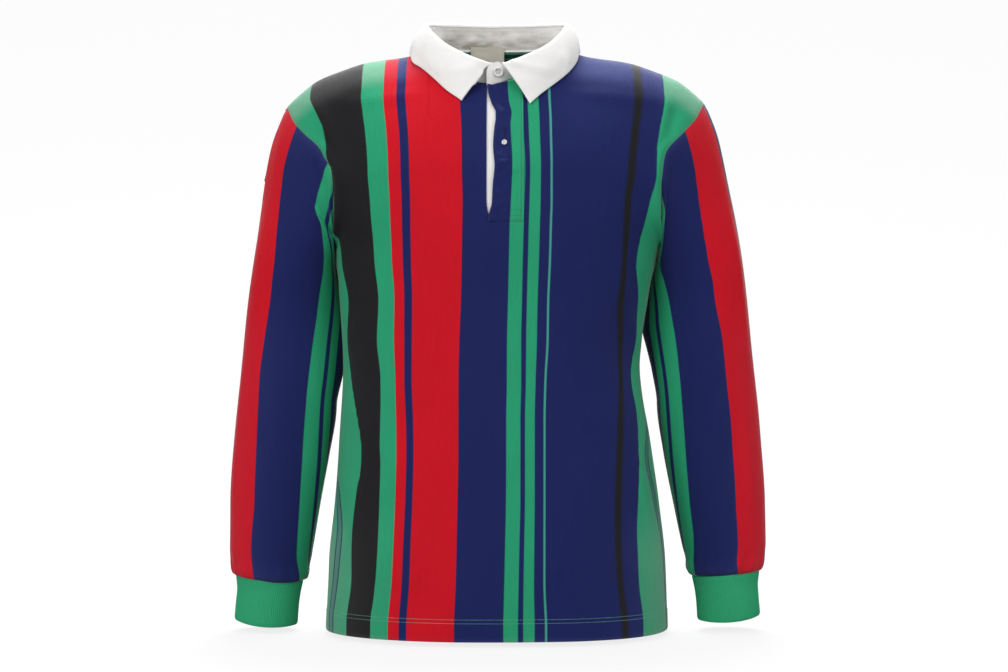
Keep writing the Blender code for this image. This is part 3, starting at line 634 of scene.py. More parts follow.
def underTilt(x):
    return tiltSizes["under"] * smoothStep((x + 62) / 40)


def seamTilt(x):  # how far the neck seam lies up the cloth on both sides of the placket
    onOver = smoothStep((x - placketSizes["slitRight"]) / 1.5)
    return underTilt(x) * (1 - onOver) + overTilt(x) * onOver


def panelPart(grid, creases, seed, sign):
    side, top, height = fromEdges(grid)
    x, z = grid[..., 0], grid[..., 2]
    folds = creased(x, z, creases) + foldSizes["slow"] * waves(x, z, foldSizes["slowLong"], seed)
    folds = folds + foldSizes["fine"] * waves(x, z, foldSizes["fineLong"], seed + 1)
    folds = folds * ((1 - hump(side, foldSizes["calm"])) * (1 - hump(top, foldSizes["calm"])))
    normals = sign * normalsOf(grid)
    return {"grid": grid, "normals": normals, "folds": folds, "side": side, "top": top, "height": height}


panels = {"front": panelPart(frontGrid, frontCreases, 3, 1), "back": panelPart(backGrid, backCreases, 8, -1)}
shoulderCells = len(sideStops)
sewnEdges = [(slice(0, underarmRow + 1), 0), (slice(0, underarmRow + 1), -1),
             (-1, slice(0, shoulderCells)), (-1, slice(-shoulderCells, None))]


def meanEdges(key, last):  # front and back meet where they are sewn together
    for edge in sewnEdges:
        mean = last((panels["front"][key][edge] + panels["back"][key][edge]) / 2)
        for part in panels.values():
            part[key][edge] = mean


meanEdges("normals", unit)
for part in panels.values():
    lift = part["folds"] + rolled(part) + seamDip(part["side"]) + seamDip(part["top"])
    lift = lift + hemProfile(part["height"])
    part["outer"] = part["grid"] + part["normals"] * lift[..., None]
meanEdges("outer", np.asarray)
frontOuter = panels["front"]["outer"]
tilt = seamTilt(frontOuter[..., 0]) * hump(panels["front"]["top"], tiltSizes["wide"])
frontOuter += unit(np.gradient(frontOuter, axis=0)) * tilt[..., None]
for part, sign in zip(panels.values(), (1, -1)):
    part["facing"] = sign * normalsOf(part["outer"])


def stripeCoordinate(grid, back):  # distance round the level section through each point, from the centre
    xs = np.linspace(-stripeFrame["half"], stripeFrame["half"], 2 * stripeFrame["half"] + 1)
    heights = np.linspace(bodySizes["underarm"], bodySizes["chest"], stripeFrame["levels"])
    arcs = []
    for z in heights:
        inside = np.clip(xs, 0.01 - column(trunkTable, "right", z), column(trunkTable, "left", z) - 0.01)
        far = paced(form(inside, np.full_like(xs, rowAt(z)), back))
        arcs.append(far - np.interp(0, xs, far))
    x, z = grid[..., 0], grid[..., 2]
    u = np.empty_like(x)
    for r, row in enumerate(grid):
        if r < underarmRow:
            far = paced(row)
            u[r] = far - np.interp(0, row[:, 0], far)
        else:
            flat = x[r] / (1 + 0.05 * smoothStep((z[r] - bodySizes["chest"]) / 80))
            level = np.interp(z[r], heights, np.arange(len(heights)))
            low = np.minimum(level.astype(int), len(heights) - 2)
            each, picked = np.array([np.interp(flat, xs, arc) for arc in arcs]), np.arange(len(flat))
            u[r] = each[low, picked] + (level - low) * (each[low + 1, picked] - each[low, picked])
    return u


def drifted(u, z, strays):  # the place on the flat cloth: u without what the nearest stripes stray
    names = list(strays)[1:]
    places = np.array([float(name) for name in names])
    shifts = np.stack([column(strays, name, z) for name in names], axis=-1)
    edges = places + shifts
    flat = np.where(u < edges[..., 0], u - shifts[..., 0], u - shifts[..., -1])
    for k in range(len(places) - 1):
        share = (u - edges[..., k]) / (edges[..., k + 1] - edges[..., k])
        flat = np.where((share >= 0) & (share < 1), places[k] + share * (places[k + 1] - places[k]), flat)
    return flat


for name, part in panels.items():  # washed out along the seams, with a painted highlight over the shoulders and painted light down the sides
    u, z = stripeCoordinate(part["grid"], name == "back"), part["grid"][..., 2]
    part["uv"] = np.stack([-u if name == "back" else drifted(u, z, frontDrift), part["height"]], axis=-1)
    away = np.clip(np.abs(part["outer"][..., 0]), 96, 266)
    below = part["outer"][..., 2] - column(shoulderTable, "z", away)
    # painted highlight: the shoulders paler, as if lit from above
    shoulder = smoothStep((below - fadeAndPaintedLightSizes["low"]) / fadeAndPaintedLightSizes["deep"])
    # painted light: the sides paler, more towards the hem, as if lit from the sides and behind
    flank = hump(part["side"], fadeAndPaintedLightSizes["flank"]) * smoothStep((bodySizes["underarm"] - z - 40) / 120)
    flank = flank * (0.14 + 0.75 * smoothStep((-545 - z) / 90))
    seams = sum(np.exp(-part[edge] / wide) * share
                for edge, wide, share in (("side", 3.0, 0.3), ("top", 3.0, 0.4), ("height", 2.0, 0.6)))
    part["wearAndPaintedLight"] = np.minimum(seams + fadeAndPaintedLightSizes["shoulder"] * shoulder + flank, fadeAndPaintedLightSizes["most"])


def makePanel(name, part, missing=None):
    return clothWall(name, finishes["front"], part["outer"], part["facing"], bodySizes["cloth"], part["uv"],
                     part["wearAndPaintedLight"], missing=missing)


gap = np.zeros((frontGrid.shape[0] - 1, frontGrid.shape[1] - 1), bool)
slit = slice(slitColumn, frontColumns["slitLeft"])
gap[:, slit] = frontGrid[:-1, slit, 2] > placketSizes["slitBottom"]
front = makePanel("front_panel", panels["front"], gap)
back = makePanel("back_panel", panels["back"])
print("front and back", len(front.data.polygons), len(back.data.polygons))

# sleeves and cuffs
sleeveCreases = {
    -1: ((60, -120, 75, -300, 14, 1.8), (28, -330, 24, -600, 9, 1.6), (90, -360, 80, -560, 16, 1.2),
         (-52, -130, -70, -310, 14, 2.0), (-30, -340, -26, -600, 9, 1.6), (-92, -320, -80, -540, 16, 1.4),
         (-110, -250, -84, -330, 10, 2.0)),
    1: ((30, -150, 34, -420, 9, 1.6), (46, -380, 44, -620, 8, 1.4), (95, -260, 80, -500, 16, 1.2),
        (-34, -160, -38, -430, 10, 1.8), (-60, -360, -48, -610, 9, 1.5), (-100, -250, -84, -480, 15, 1.6),
        (-84, -130, -104, -240, 11, 1.8)),
}
sleeveDrift = {
    -1: table(
        "z 0 60 119 144",
        (-653, -5, -9, -9, -8), (-603, -5, -5, -5, -3), (-553, -5, 0, -1, 0), (-453, -5, -1, 2, 0),
        (-403, -5, -2, 5, 4), (-353, -5, 1, 10, 10), (-303, -5, 5, 19, 22), (-253, -5, 7, 26, 30),
        (-215, -5, 3, 18, 20), (-178, -5, -2, -3, 0), (-140, -5, -7, -6, -5),
    ),
    1: table(
        "z 0 60 119 144",
        (-653, 8, -9, -10, -8), (-628, 8, 0, 0, 0), (-603, 8, 2, 1, 2), (-553, 8, 6, 7, 7),
        (-453, 8, 8, 11, 8), (-403, 8, 11, 14, 12), (-353, 10, 13, 18, 20), (-303, 12, 19, 27, 28),
        (-278, 13, 20, 35, 38), (-253, 14, 22, 52, 54), (-178, 14, 20, 60, 60), (-140, 13, 19, 50, 50),
    ),
}
tuckTable = table(  # how far the inner side of each sleeve lies in and back, behind the body's side
    "along inRight inLeft backRight backLeft",
    (0.00, 0, 0, 0, 0), (0.06, 2, 4, 6, 6), (0.15, 6, 12, 20, 20), (0.27, 11, 19, 28, 30),
    (0.34, 12, 18, 28, 28), (0.40, 10, 12, 22, 20), (0.47, 5, 5, 10, 8), (0.55, -2, 0, 0, 0),
    (0.70, -2, 0, 0, 0), (1.00, 0, 0, 0, 0),
)
flap = {  # under the wearer's right arm the cloth folds down over itself; its lip runs through these x and z
    "lip": ((-233, -180), (-227.3, -187), (-221.7, -198), (-215.5, -205.5), (-208, -221.8), (-203.5, -243)),
    "rise": 3.6, "dip": 3.4, "reach": 9.0, "step": 2.5,
    "edgeX": -210.5, "edgeZ": -138.0, "edgeStripe": 119, "leanX": 1.1718, "leanZ": 0.40548,
}
gather = {"reach": 20, "depth": 1.0, "pitch": 17, "bulge": 1.2, "overhang": 3.0, "tuck": 3.0, "swell": 6.0}


def armholeOf(side):  # shoulder, down the front, up the back
    edge = -1 if side > 0 else 0
    down = panels["front"]["outer"][underarmRow:, edge][::-1]
    return np.concatenate([down, panels["back"]["outer"][underarmRow + 1:-1, edge]])


def besideLine(x, z, line):  # distance from a bent line, positive on the left of its direction
    best = np.full(x.shape, 1e3)
    for (x0, z0), (x1, z1) in zip(line, line[1:]):
        dx, dz = x1 - x0, z1 - z0
        t = np.clip(((x - x0) * dx + (z - z0) * dz) / (dx * dx + dz * dz), 0, 1)
        asideX, asideZ = x - x0 - t * dx, z - z0 - t * dz
        away = np.hypot(asideX, asideZ) * np.where(dx * asideZ - dz * asideX < 0, -1, 1)
        best = np.where(np.abs(away) < np.abs(best), away, best)
    return best


def closing(grid):  # the first column again at the end
    return np.concatenate([grid, grid[:, :1]], axis=1)


def sleeveGrid(side, armhole, turns):
    first = ringOf(sleeveTable, 0.0, turns, side)
    inner = ((1 - np.cos(turns * 2 * math.pi)) / 2) ** 2
    hand = "Left" if side > 0 else "Right"
    rows = []
    for along in crowded(sleeveSizes["rows"], True, True):
        fade = 1 - smoothStep(along / sleeveSizes["armholeFade"])
        ring = ringOf(sleeveTable, along, turns, side) + fade * (armhole - first)
        ring[:, 0] -= side * column(tuckTable, "in" + hand, along) * inner
        ring[:, 1] += column(tuckTable, "back" + hand, along) * inner
        rows.append(ring)
    return np.array(rows), inner


def makeSleeve(side, name):
    armhole, half = armholeOf(side), len(rises)
    far = paced(np.concatenate([armhole, armhole[:1]]))
    turns = np.interp(far[:-1], [0, far[half], far[-1]], [0, 0.5, 1])
    armhole, turns = np.roll(armhole, -half, axis=0), np.roll(turns, -half)  # starts and ends at the underarm
    grid, inner = sleeveGrid(side, armhole, turns)
    far = paced(closing(grid), 1)
    flat = far - far[:, len(armhole) - half, None]
    u, z, down = flat[:, :-1], grid[..., 2], paced(grid)
    left, seam = down[-1:] - down, np.minimum(far[:, :-1], far[:, -1:] - far[:, :-1])
    folds = creased(u, z, sleeveCreases[side]) + 1.1 * waves(u, z, 130, 20 + side)
    folds += 0.4 * waves(u, z * 0.4, 40, 30 + side)
    pleats = np.sin(u * 2 * math.pi / gather["pitch"] + 2.0 * np.sin(u / 23 + side))
    lift = folds * (1 - hump(down, 30)) * (1 - hump(left, 20))
    lift += gather["depth"] * pleats * hump(left - 7, gather["reach"]) * (1 - hump(left, 5))
    lift += gather["bulge"] * hump(left - 10, 9) * (1 - hump(left, 4)) - gather["tuck"] * hump(left, 1.6)
    lift += (seamDip(seam, 0.7) + bodySizes["cloth"]) * (1 - hump(down, 6))
    lift += gather["swell"] * inner * hump(down - 9, 8)
    if side < 0:
        x, inFront = grid[..., 0], turns < 0.5
        beyond = besideLine(x, z, flap["lip"])
        onFlap = smoothStep(beyond / flap["step"] + 0.5) * inFront
        step = flap["dip"] * (1 - onFlap) - flap["rise"] * onFlap
        lift += step * hump(beyond, flap["reach"]) * inFront * smoothStep((x + 238) / 14)
    outer = grid + side * normalsOf(grid, wrap=True) * lift[..., None]
    sag = 0.6 + 0.4 * np.sin(u / 31 + 1 + side) + (0.9 if side < 0 else 0.3) * np.exp(-(((u - 90) / 26) ** 4))
    outer[..., 2] -= gather["overhang"] * hump(left - 4, 7) * sag
    flat = drifted(flat, closing(z), sleeveDrift[side])
    if side < 0:  # the flap's stripes run on from higher up the sleeve
        aslant = (x - flap["edgeX"]) * flap["leanX"] - (z - flap["edgeZ"]) * flap["leanZ"]
        aslant = aslant + flap["edgeStripe"]
        share = onFlap * smoothStep((aslant - 85) / 25) * smoothStep((z + 250) / 10)
        flat[:, :-1] += (aslant - flat[:, :-1]) * share
    # painted highlight: the top of the sleeve paler, as if lit from above
    above = outer[..., 2] - fadeAndPaintedLightSizes["sleeveLow"]
    fade = 0.75 * smoothStep(above / fadeAndPaintedLightSizes["sleeveDeep"]) + 0.12 * smoothStep((above + 50) / 50)
    fade += 0.45 * hump(u, 50) * smoothStep((-290 - z) / 90)  # painted light down the outside of the arm
    wearAndPaintedLight = np.exp(-seam / 3) * 0.4 + np.exp(-down / 3) * 0.35 + np.exp(-left / 5) * 0.4 + fade
    uv = np.stack([flat, closing(down)], axis=-1)
    facing = normalsOf(outer, wrap=True) * side
    return clothWall(name, finishes["sleeve"], outer, facing, bodySizes["cloth"], uv, wearAndPaintedLight, wrap=True)


sleeves = {-1: makeSleeve(-1, "sleeve_right_cloth"), 1: makeSleeve(1, "sleeve_left_cloth")}
print("sleeves made")
cuffSizes = {"ribs": 92, "columns": 460, "rows": 26, "tall": 57.0, "depth": 0.32, "cloth": 2.0, "tuck": 5.0,
             "tuckIn": 2.0, "firstIn": 1.2, "sag": 3.0, "middle": 12.0, "front": 34}


def treeOf(name, numbers):  # a Geometry Nodes tree with a geometry, some numbers and a finish to take in
    tree = bpy.data.node_groups.new(name, "GeometryNodeTree")
    sockets = [("Geometry", "Geometry"), *((number, "Float") for number in numbers), ("finish", "Material")]
    for label, kind in sockets:
        tree.interface.new_socket(label, in_out="INPUT", socket_type="NodeSocket" + kind)
    tree.interface.new_socket("Geometry", in_out="OUTPUT", socket_type="NodeSocketGeometry")
    given = tree.nodes.new("NodeGroupInput")
    return [Wire(tree, given.outputs[k]) for k in range(len(sockets))]


def ended(geometry, stuff):
    made = geometry.node("GeometryNodeSetMaterial", {}, {"Geometry": geometry, "Material": stuff})
    made.feeds(made.tree.nodes.new("NodeGroupOutput"), 0)
    return made.tree


def ribTree():  # ribs of a knit, lifted along the normal and running the length of the cuff
    geometry, pitch, depth, stuff = treeOf("ribKnit", ("pitch", "depth"))
    place = geometry.node("GeometryNodeInputNamedAttribute", {"data_type": "FLOAT_VECTOR"}, {0: "cloth"})
    u = place.node("ShaderNodeSeparateXYZ", {}, {0: place})
    wave = (u / pitch * (2 * math.pi)).sine() * depth * mm
    offset = geometry.node("GeometryNodeInputNormal").scaled(wave)
    lifted = geometry.node("GeometryNodeSetPosition", {}, {"Geometry": geometry, "Offset": offset})
    return ended(lifted, stuff)


def stitchTree():  # stitches along a line of edges, each a short thread laid along it
    geometry, pitch, length, thread, stuff = treeOf("stitchRow", ("pitch", "length", "thread"))
    line = geometry.node("GeometryNodeMeshToCurve", {}, {0: geometry})
    spaced = line.node("GeometryNodeResampleCurve", {"mode": "LENGTH"}, {"Curve": line, "Length": pitch * mm})
    tangent = line.node("GeometryNodeInputTangent")
    turned = line.node("FunctionNodeAlignRotationToVector", {"axis": "X"}, {"Vector": tangent})
    half, thin = length * (mm / 2), thread * (mm / 2)
    size = line.node("ShaderNodeCombineXYZ", {}, {0: half, 1: thin, 2: thin})
    sizes = line.node("FunctionNodeRandomValue", {"data_type": "FLOAT"}, {2: 0.88, 3: 1.12, "Seed": 5}, 1)
    ball = line.node("GeometryNodeMeshUVSphere", {}, {"Segments": 6, "Rings": 4, "Radius": 1.0})
    sockets = {"Points": spaced, "Instance": ball, "Rotation": turned, "Scale": size.scaled(sizes)}
    laid = line.node("GeometryNodeInstanceOnPoints", {}, sockets)
    real = laid.node("GeometryNodeRealizeInstances", {}, {0: laid})
    return ended(real.node("GeometryNodeSetShadeSmooth", {}, {0: real}), stuff)


def grown(piece, tree, **values):  # the tree's result as a plain mesh
    modifier = piece.modifiers.new(tree.name, "NODES")
    modifier.node_group = tree
    for item in tree.interface.items_tree:
        if item.in_out == "INPUT" and item.name in values:
            modifier[item.identifier] = values[item.name]
    graph = bpy.context.evaluated_depsgraph_get()
    old, mesh = piece.data, bpy.data.meshes.new_from_object(piece.evaluated_get(graph))
    piece.modifiers.remove(modifier)
    piece.data = mesh
    bpy.data.meshes.remove(old)
    return piece


ribKnit, stitchRow = ribTree(), stitchTree()


def stitched(name, lines, thread, pitch, length, wide):  # rows of stitches along lines of points
    points, edges = [], []
    for line in lines:
        start = len(points)
        points += (np.asarray(line) * mm).tolist()
        edges += [(k, k + 1) for k in range(start, len(points) - 1)]
    mesh = bpy.data.meshes.new(name)
    mesh.from_pydata(points, edges, [])
    values = {"pitch": pitch, "length": length, "thread": wide, "finish": finishes[thread]}
    return grown(added(name, mesh), stitchRow, **values)


def makeCuff(side, name):
    size = cuffSizes
    turns, share = np.arange(size["columns"]) / size["columns"], np.linspace(0, 1, size["rows"])[:, None]
    grid = np.array([ringOf(cuffTable, along, turns, side) for along in share[:, 0]])
    facingUs = np.clip((size["middle"] - grid[..., 1]) / size["front"], 0, 1)
    grid[..., 2] -= size["sag"] * facingUs**2 * share**2
    normals = normalsOf(grid, wrap=True) * side
    tuck = grid[0] - normals[0] * size["tuckIn"] + (0, 0, size["tuck"])
    grid[0] -= normals[0] * size["firstIn"]
    left = (1 - share) * size["tall"]
    lift = size["cloth"] - 0.9 * hump(left, 1.4) + 0.5 * waves(turns * 240, left, 60, 41 + side)
    outer = np.concatenate([tuck[None], grid + normals * lift[..., None]])
    girth = paced(closing(grid), 1)[5, -1]
    u = np.linspace(0, girth, size["columns"] + 1)
    v = np.concatenate([[0], np.linspace(size["tuck"], size["tall"], size["rows"])])
    uv = np.stack(np.broadcast_arrays(u[None, :], v[:, None]), axis=-1)
    facing = normalsOf(outer, wrap=True) * side
    unworn = np.zeros(outer.shape[:2])
    piece = clothWall(name, finishes["rib"], outer, facing, size["cloth"], uv, unworn, wrap=True)
    return grown(piece, ribKnit, pitch=girth / size["ribs"], depth=size["depth"], finish=finishes["rib"])


cuffs = {-1: makeCuff(-1, "cuff_right_rib"), 1: makeCuff(1, "cuff_left_rib")}
print("cuffs made")


def onGrid(grid, rows, columns):  # values of a grid between its rows and columns
    rows, columns = (np.clip(at, 0, count - 1.001) for at, count in zip((rows, columns), grid.shape))
    r, c = rows.astype(int), columns.astype(int)
    a, b = (rows - r)[..., None], (columns - c)[..., None]
    near = grid[r, c] * (1 - b) + grid[r, c + 1] * b
    far = grid[r + 1, c] * (1 - b) + grid[r + 1, c + 1] * b
    return near * (1 - a) + far * a


def spotOn(grid, x, z):  # the point of a front-facing grid at x and z, and its facing
    flat = grid.reshape(-1, 3)
    near = flat[np.argsort(np.hypot(flat[:, 0] - x, flat[:, 2] - z))[:16]]
    sides = np.column_stack([np.ones(len(near)), near[:, 0] - x, near[:, 2] - z])
    level, slopeX, slopeZ = np.linalg.lstsq(sides, near[:, 1], rcond=None)[0]
    return np.array([x, level, z]), unit(np.array([slopeX, -1, slopeZ]))


# plackets
bandEdge = table(  # right edge of the band, by height: it curls over the opening unevenly
    "z x",
    (-215, -11.6), (-210, -11.3), (-202, -10.6), (-195, -8.5), (-186, -6.4), (-166, -5.4), (-141, -3.2),
    (-116, -5), (-100, -4.2), (-88, -2.8), (-75, -1), (-61, -7), (-44, -12), (-30, -13.5),
)
bandDrift = table(  # how far the band's own stripe strays from the panel's
    "z aside",
    (-215, 0), (-197, 0.4), (-166, 1.2), (-132, 2.0), (-116, 1.7), (-92, 1.4), (-75, 3.4), (-60, 1.0),
    (-40, 0),
)
bandPuckers = (  # x0, z0, x1, z1, width, height
    (-6, -61, 13, -77, 3.0, 2.0), (-2, -76, 9, -71, 2.0, 1.3), (0, -96, 16, -104, 3.0, -1.2),
    (-4, -123, 14, -131, 2.4, 1.8), (-1, -134, 15, -137, 2.4, 2.0), (-3, -150, 12, -146, 3.0, -1.3),
    (-4, -170, 11, -179, 3.5, 1.3), (-6, -190, 12, -186, 3.0, 1.0), (12, -88, 30, -84, 4.0, 0.7),
    (12, -150, 30, -142, 4.0, 0.8),
)
bandSizes = {"lift": 0.35, "cloth": 1.3, "columns": 28, "curl": 1.2}
underSizes = {"lift": -bodySizes["cloth"] - 1.7, "cloth": 1.2, "columns": 12}
placketRows = np.nonzero(frontGrid[:, slitColumn, 2] > placketSizes["foot"])[0]
placketLevels = frontOuter[placketRows, slitColumn, 2]


def placketStrip(name, stuff, right, left, size, waviness, strays):
    part, near = panels["front"], slice(frontColumns["neckRight"], frontColumns["neckLeft"] + 1)
    rows = []
    for r, start, stray in zip(placketRows, right, strays):
        xs = np.linspace(start, left, size["columns"])
        order = np.argsort(frontOuter[r, near, 0])
        places = frontOuter[r, near, 0][order]
        points, normals = (resampled(part[key][r, near][order], places, xs) for key in ("outer", "facing"))
        u = np.interp(xs, frontGrid[r, near, 0], part["uv"][r, near, 0]) - stray
        rows.append(np.column_stack([points, normals, u, np.full(len(xs), part["height"][r, slitColumn])]))
    grid, facing, uv = np.split(np.array(rows), (3, 6), axis=2)
    facing, (side, _, foot), raised = unit(facing), fromEdges(grid), waviness(grid[..., 0], grid[..., 2])
    lift = size["lift"] + size["cloth"] + raised - 0.5 * hump(side, 0.9) - 1.0 * hump(foot, 1.4)
    outer = grid + facing * lift[..., None]
    # the wear channel: edges and foot worn, and a painted highlight where the band's puckers and curled edge
    # stand up
    wearAndPaintedLight = np.exp(-side / 2.0) * 0.12 + np.exp(-foot / 2.0) * 0.10 + 0.30 * smoothStep((raised - 0.8) / 1.2)
    return clothWall(name, stuff, outer, facing, size["cloth"], uv, wearAndPaintedLight), outer, facing


def bandWaves(x, z):  # a washed band: curled free edge, small puckers round the buttonhole
    curl = bandSizes["curl"] * hump(x - x[:, :1], 5) * (0.6 + 0.5 * np.sin(z / 9.0))
    return curl + creased(x, z, bandPuckers) + 0.35 * waves(x * 2, z, 22, 51)


def underWaves(x, z):
    return 0.3 * waves(x, z, 40, 61)


bandRight, bandStray = column(bandEdge, "x", placketLevels), column(bandDrift, "aside", placketLevels)
band, bandOuter, bandFacing = placketStrip("placket_band", finishes["front"], bandRight,
                                           placketSizes["bandLeft"], bandSizes, bandWaves, bandStray)
underRight = np.full(len(placketLevels), float(placketSizes["underRight"]))
under, _, _ = placketStrip("placket_facing", finishes["collar"], underRight, placketSizes["underLeft"],
                           underSizes, underWaves, 0 * underRight)
print("plackets made")

# collar and its stand
collarSizes = {
    "leftNarrow": 2.2, "start": 3.5, "bow": 4.4, "taper": 13.0, "rise": 4.5, "tabRise": 0.5, "corner": 9.0,
    "lap": 1.3, "lapFade": 60.0, "cloth": 1.5, "lift": 2.6, "bulge": 3.0, "rows": 26, "columns": 250,
    "roll": ((0.0, 0.3), (0.4, 1.8), (1.2, 3.2), (2.4, 4.1), (3.8, 4.4), (5.2, 4.0), (6.4, 3.0)),
}
standSizes = {"rows": 16, "columns": 320, "cloth": 1.8, "foot": 0.4}
foldTable = table(  # the collar's fold, from the centre front round to the centre back
    "angle x y z",
    (0, 0, -69, -8.6), (5, 8, -69, -10.9), (12, 18.5, -68, -8), (24, 37, -64, -0.5), (39, 57, -54, 10.8),
    (52, 71, -42, 22), (66, 82, -28, 35), (90, 89, 2, 49), (120, 80, 36, 54.5), (150, 47, 55, 56.5),
    (180, 0, 61, 56.5),
)
leafTable = table(  # the leaf's outer edge, on the wearer's right and left
    "angle xRight xLeft rowRight rowLeft",
    (6, 44, 40.5, 0.40, 0.385),
    (24, 61, 60, 0.46, 0.465),
    (45, 78, 77, 0.56, 0.55),
    (62, 94, 91.5, 0.67, 0.65),
    (78, 107, 100, 0.78, 0.77),
    (90, 111, 104, 0.98, 0.98),
    (105, 108, 101, 0.91, 0.91),
    (125, 91, 87, 0.835, 0.835),
    (150, 52, 51, 0.668, 0.668),
    (165, 27, 26.5, 0.638, 0.638),
    (180, 0, 0, 0.62, 0.62),
)
leafCreases = (  # x0, z0, x1, z1, width, height
    (8, -6, 40, -18, 4.0, 1.6), (30, -15, 74, -22, 6.0, 1.4), (16, -16, 50, -30, 7.0, -1.0),
    (-20, -14, -62, -24, 7.0, 1.0), (-60, -30, -96, 0, 9.0, 1.0), (70, 0, 96, -6, 8.0, 0.9),
)


def foldLine(theta):  # the collar's fold, in degrees round from the centre front by way of the wearer's right
    angle = np.abs((theta + 180) % 360 - 180)
    x, y, z = (column(foldTable, name, angle) for name in "xyz")
    turn = np.sin(np.radians(theta))
    narrow = np.where(turn < 0, collarSizes["leftNarrow"] * turn**2, 0)
    return np.stack([-(x - narrow) * np.sign(turn), y, z], axis=-1)


def plump(theta):  # the collar's roll thins towards its front ends
    fromFront = np.minimum(theta % 360, 360 - theta % 360) - collarSizes["start"]
    return 0.35 + 0.65 * smoothStep(fromFront / collarSizes["taper"])


def standTop(theta):
    along = foldLine(theta + 1) - foldLine(theta - 1)
    out = unit(np.cross((0, 0, 1), along * (1, 1, 0)))
    fromFront = np.where(theta < 180, theta, 360 - theta)
    lap = collarSizes["lap"] * (1 - smoothStep((fromFront - 12) / collarSizes["lapFade"]))
    lap = lap * np.sign(theta - 180)
    covered = smoothStep((fromFront - 1.5) / 4)
    rise = collarSizes["rise"] * plump(theta) * covered + collarSizes["tabRise"] * (1 - covered)
    top = foldLine(theta) - np.stack([0 * rise, 0 * rise, rise], axis=-1) + out * lap[:, None]
    return top, out, unit(np.cross(along, out)), lap


def neckSeam():  # from the under end, round the back, to the over end
    rightFront = [("front", c) for c in range(frontColumns["underLeft"], frontColumns["neckRight"] - 1, -1)]
    aroundBack = [("back", c) for c in range(backColumns[0] + 1, backColumns[1])]
    leftFront = [("front", c) for c in range(frontColumns["neckLeft"], slitColumn - 1, -1)]
    spots = rightFront + aroundBack + leftFront
    points, normals = (np.array([panels[piece][key][-1, c] for piece, c in spots])
                       for key in ("grid", "normals"))
    angle = np.degrees(np.arcsin(np.clip(-points[:, 0] / neckSizes["half"], -1, 1)))
    theta = np.array([180 - a if piece == "back" else a for (piece, _), a in zip(spots, angle)])
    theta[-len(leftFront):] += 360
    keep = np.concatenate([[True], np.diff(theta) > 1e-4])
    return points[keep], normals[keep], theta[keep]


def makeStand():
    seam, normals, theta = neckSeam()
    even = np.linspace(theta[0], theta[-1], standSizes["columns"])
    seam, normals = resampled(seam, theta, even), unit(resampled(normals, theta, even))
    top, out, _, lap = standTop(even)
    up, x = unit(np.cross(np.gradient(seam, axis=0), normals)), seam[:, 0]
    lifted = standSizes["foot"] + np.where(even < 90, underTilt(x), np.where(even > 270, overTilt(x), 0))
    foot = seam + up * lifted[:, None] + normals * lap[:, None]
    fromEnd = paced(foot)[-1] - paced(foot)
    corner = collarSizes["corner"]  # the over end's upper corner is rounded off
    drop = corner - np.sqrt(corner**2 - np.clip(corner - fromEnd, 0, corner) ** 2)
    top = top - unit(top - foot) * drop[:, None]
    rows, outs = [], []
    for share in crowded(standSizes["rows"], True, False):
        rows.append(foot * (1 - share) + top * share + unit(normals + 2 * out) * math.sin(math.pi * share))
        outs.append(unit(normals * (1 - share) + out * share))
    grid, facing = np.array(rows), np.array(outs)
    u, tall = paced(grid[standSizes["rows"] // 2]), paced(grid)
    uv = np.stack([np.broadcast_to(u, tall.shape), tall], axis=-1)
    lift = 0.4 * waves(u[None, :], tall, 46, 71) - 0.6 * hump(np.minimum(u, u[-1] - u), 0.9)
    outer = grid + facing * lift[..., None]
    # the inside of the stand greys: most at the back and towards the wearer's right, strongest a little above
    # its foot
    atBack = smoothStep((70 - np.abs(even - 180)) / 30)
    low = smoothStep(tall / 4) * (1 - 0.45 * smoothStep((tall - 8) / 20))
    inside = (0.36 + 0.44 * atBack) * (1 + 0.3 * np.cos(np.radians(even - 120))) * low
    piece = clothWall("collar_band", finishes["collar"], outer, facing, standSizes["cloth"], uv,
                      np.zeros(tall.shape), wearAndPaintedLightInside=inside)
    return piece, outer, facing, even


def leafEdge(theta):
    angle = np.abs((theta + 180) % 360 - 180)
    left = np.sin(np.radians(theta)) < 0
    x = np.where(left, column(leafTable, "xLeft", angle), -column(leafTable, "xRight", angle))
    row = np.where(left, column(leafTable, "rowLeft", angle), column(leafTable, "rowRight", angle))
    points = np.empty((len(theta), 3))
    for back in (False, True):
        here = (angle > 90) == back
        at = form(x[here], row[here], back)
        beside = form(x[here] + 1, row[here], back) - at
        up = at - form(x[here], row[here] - 0.02, back)
        points[here] = at + unit(np.cross(beside, up)) * (-1 if back else 1) * collarSizes["lift"]
    return points


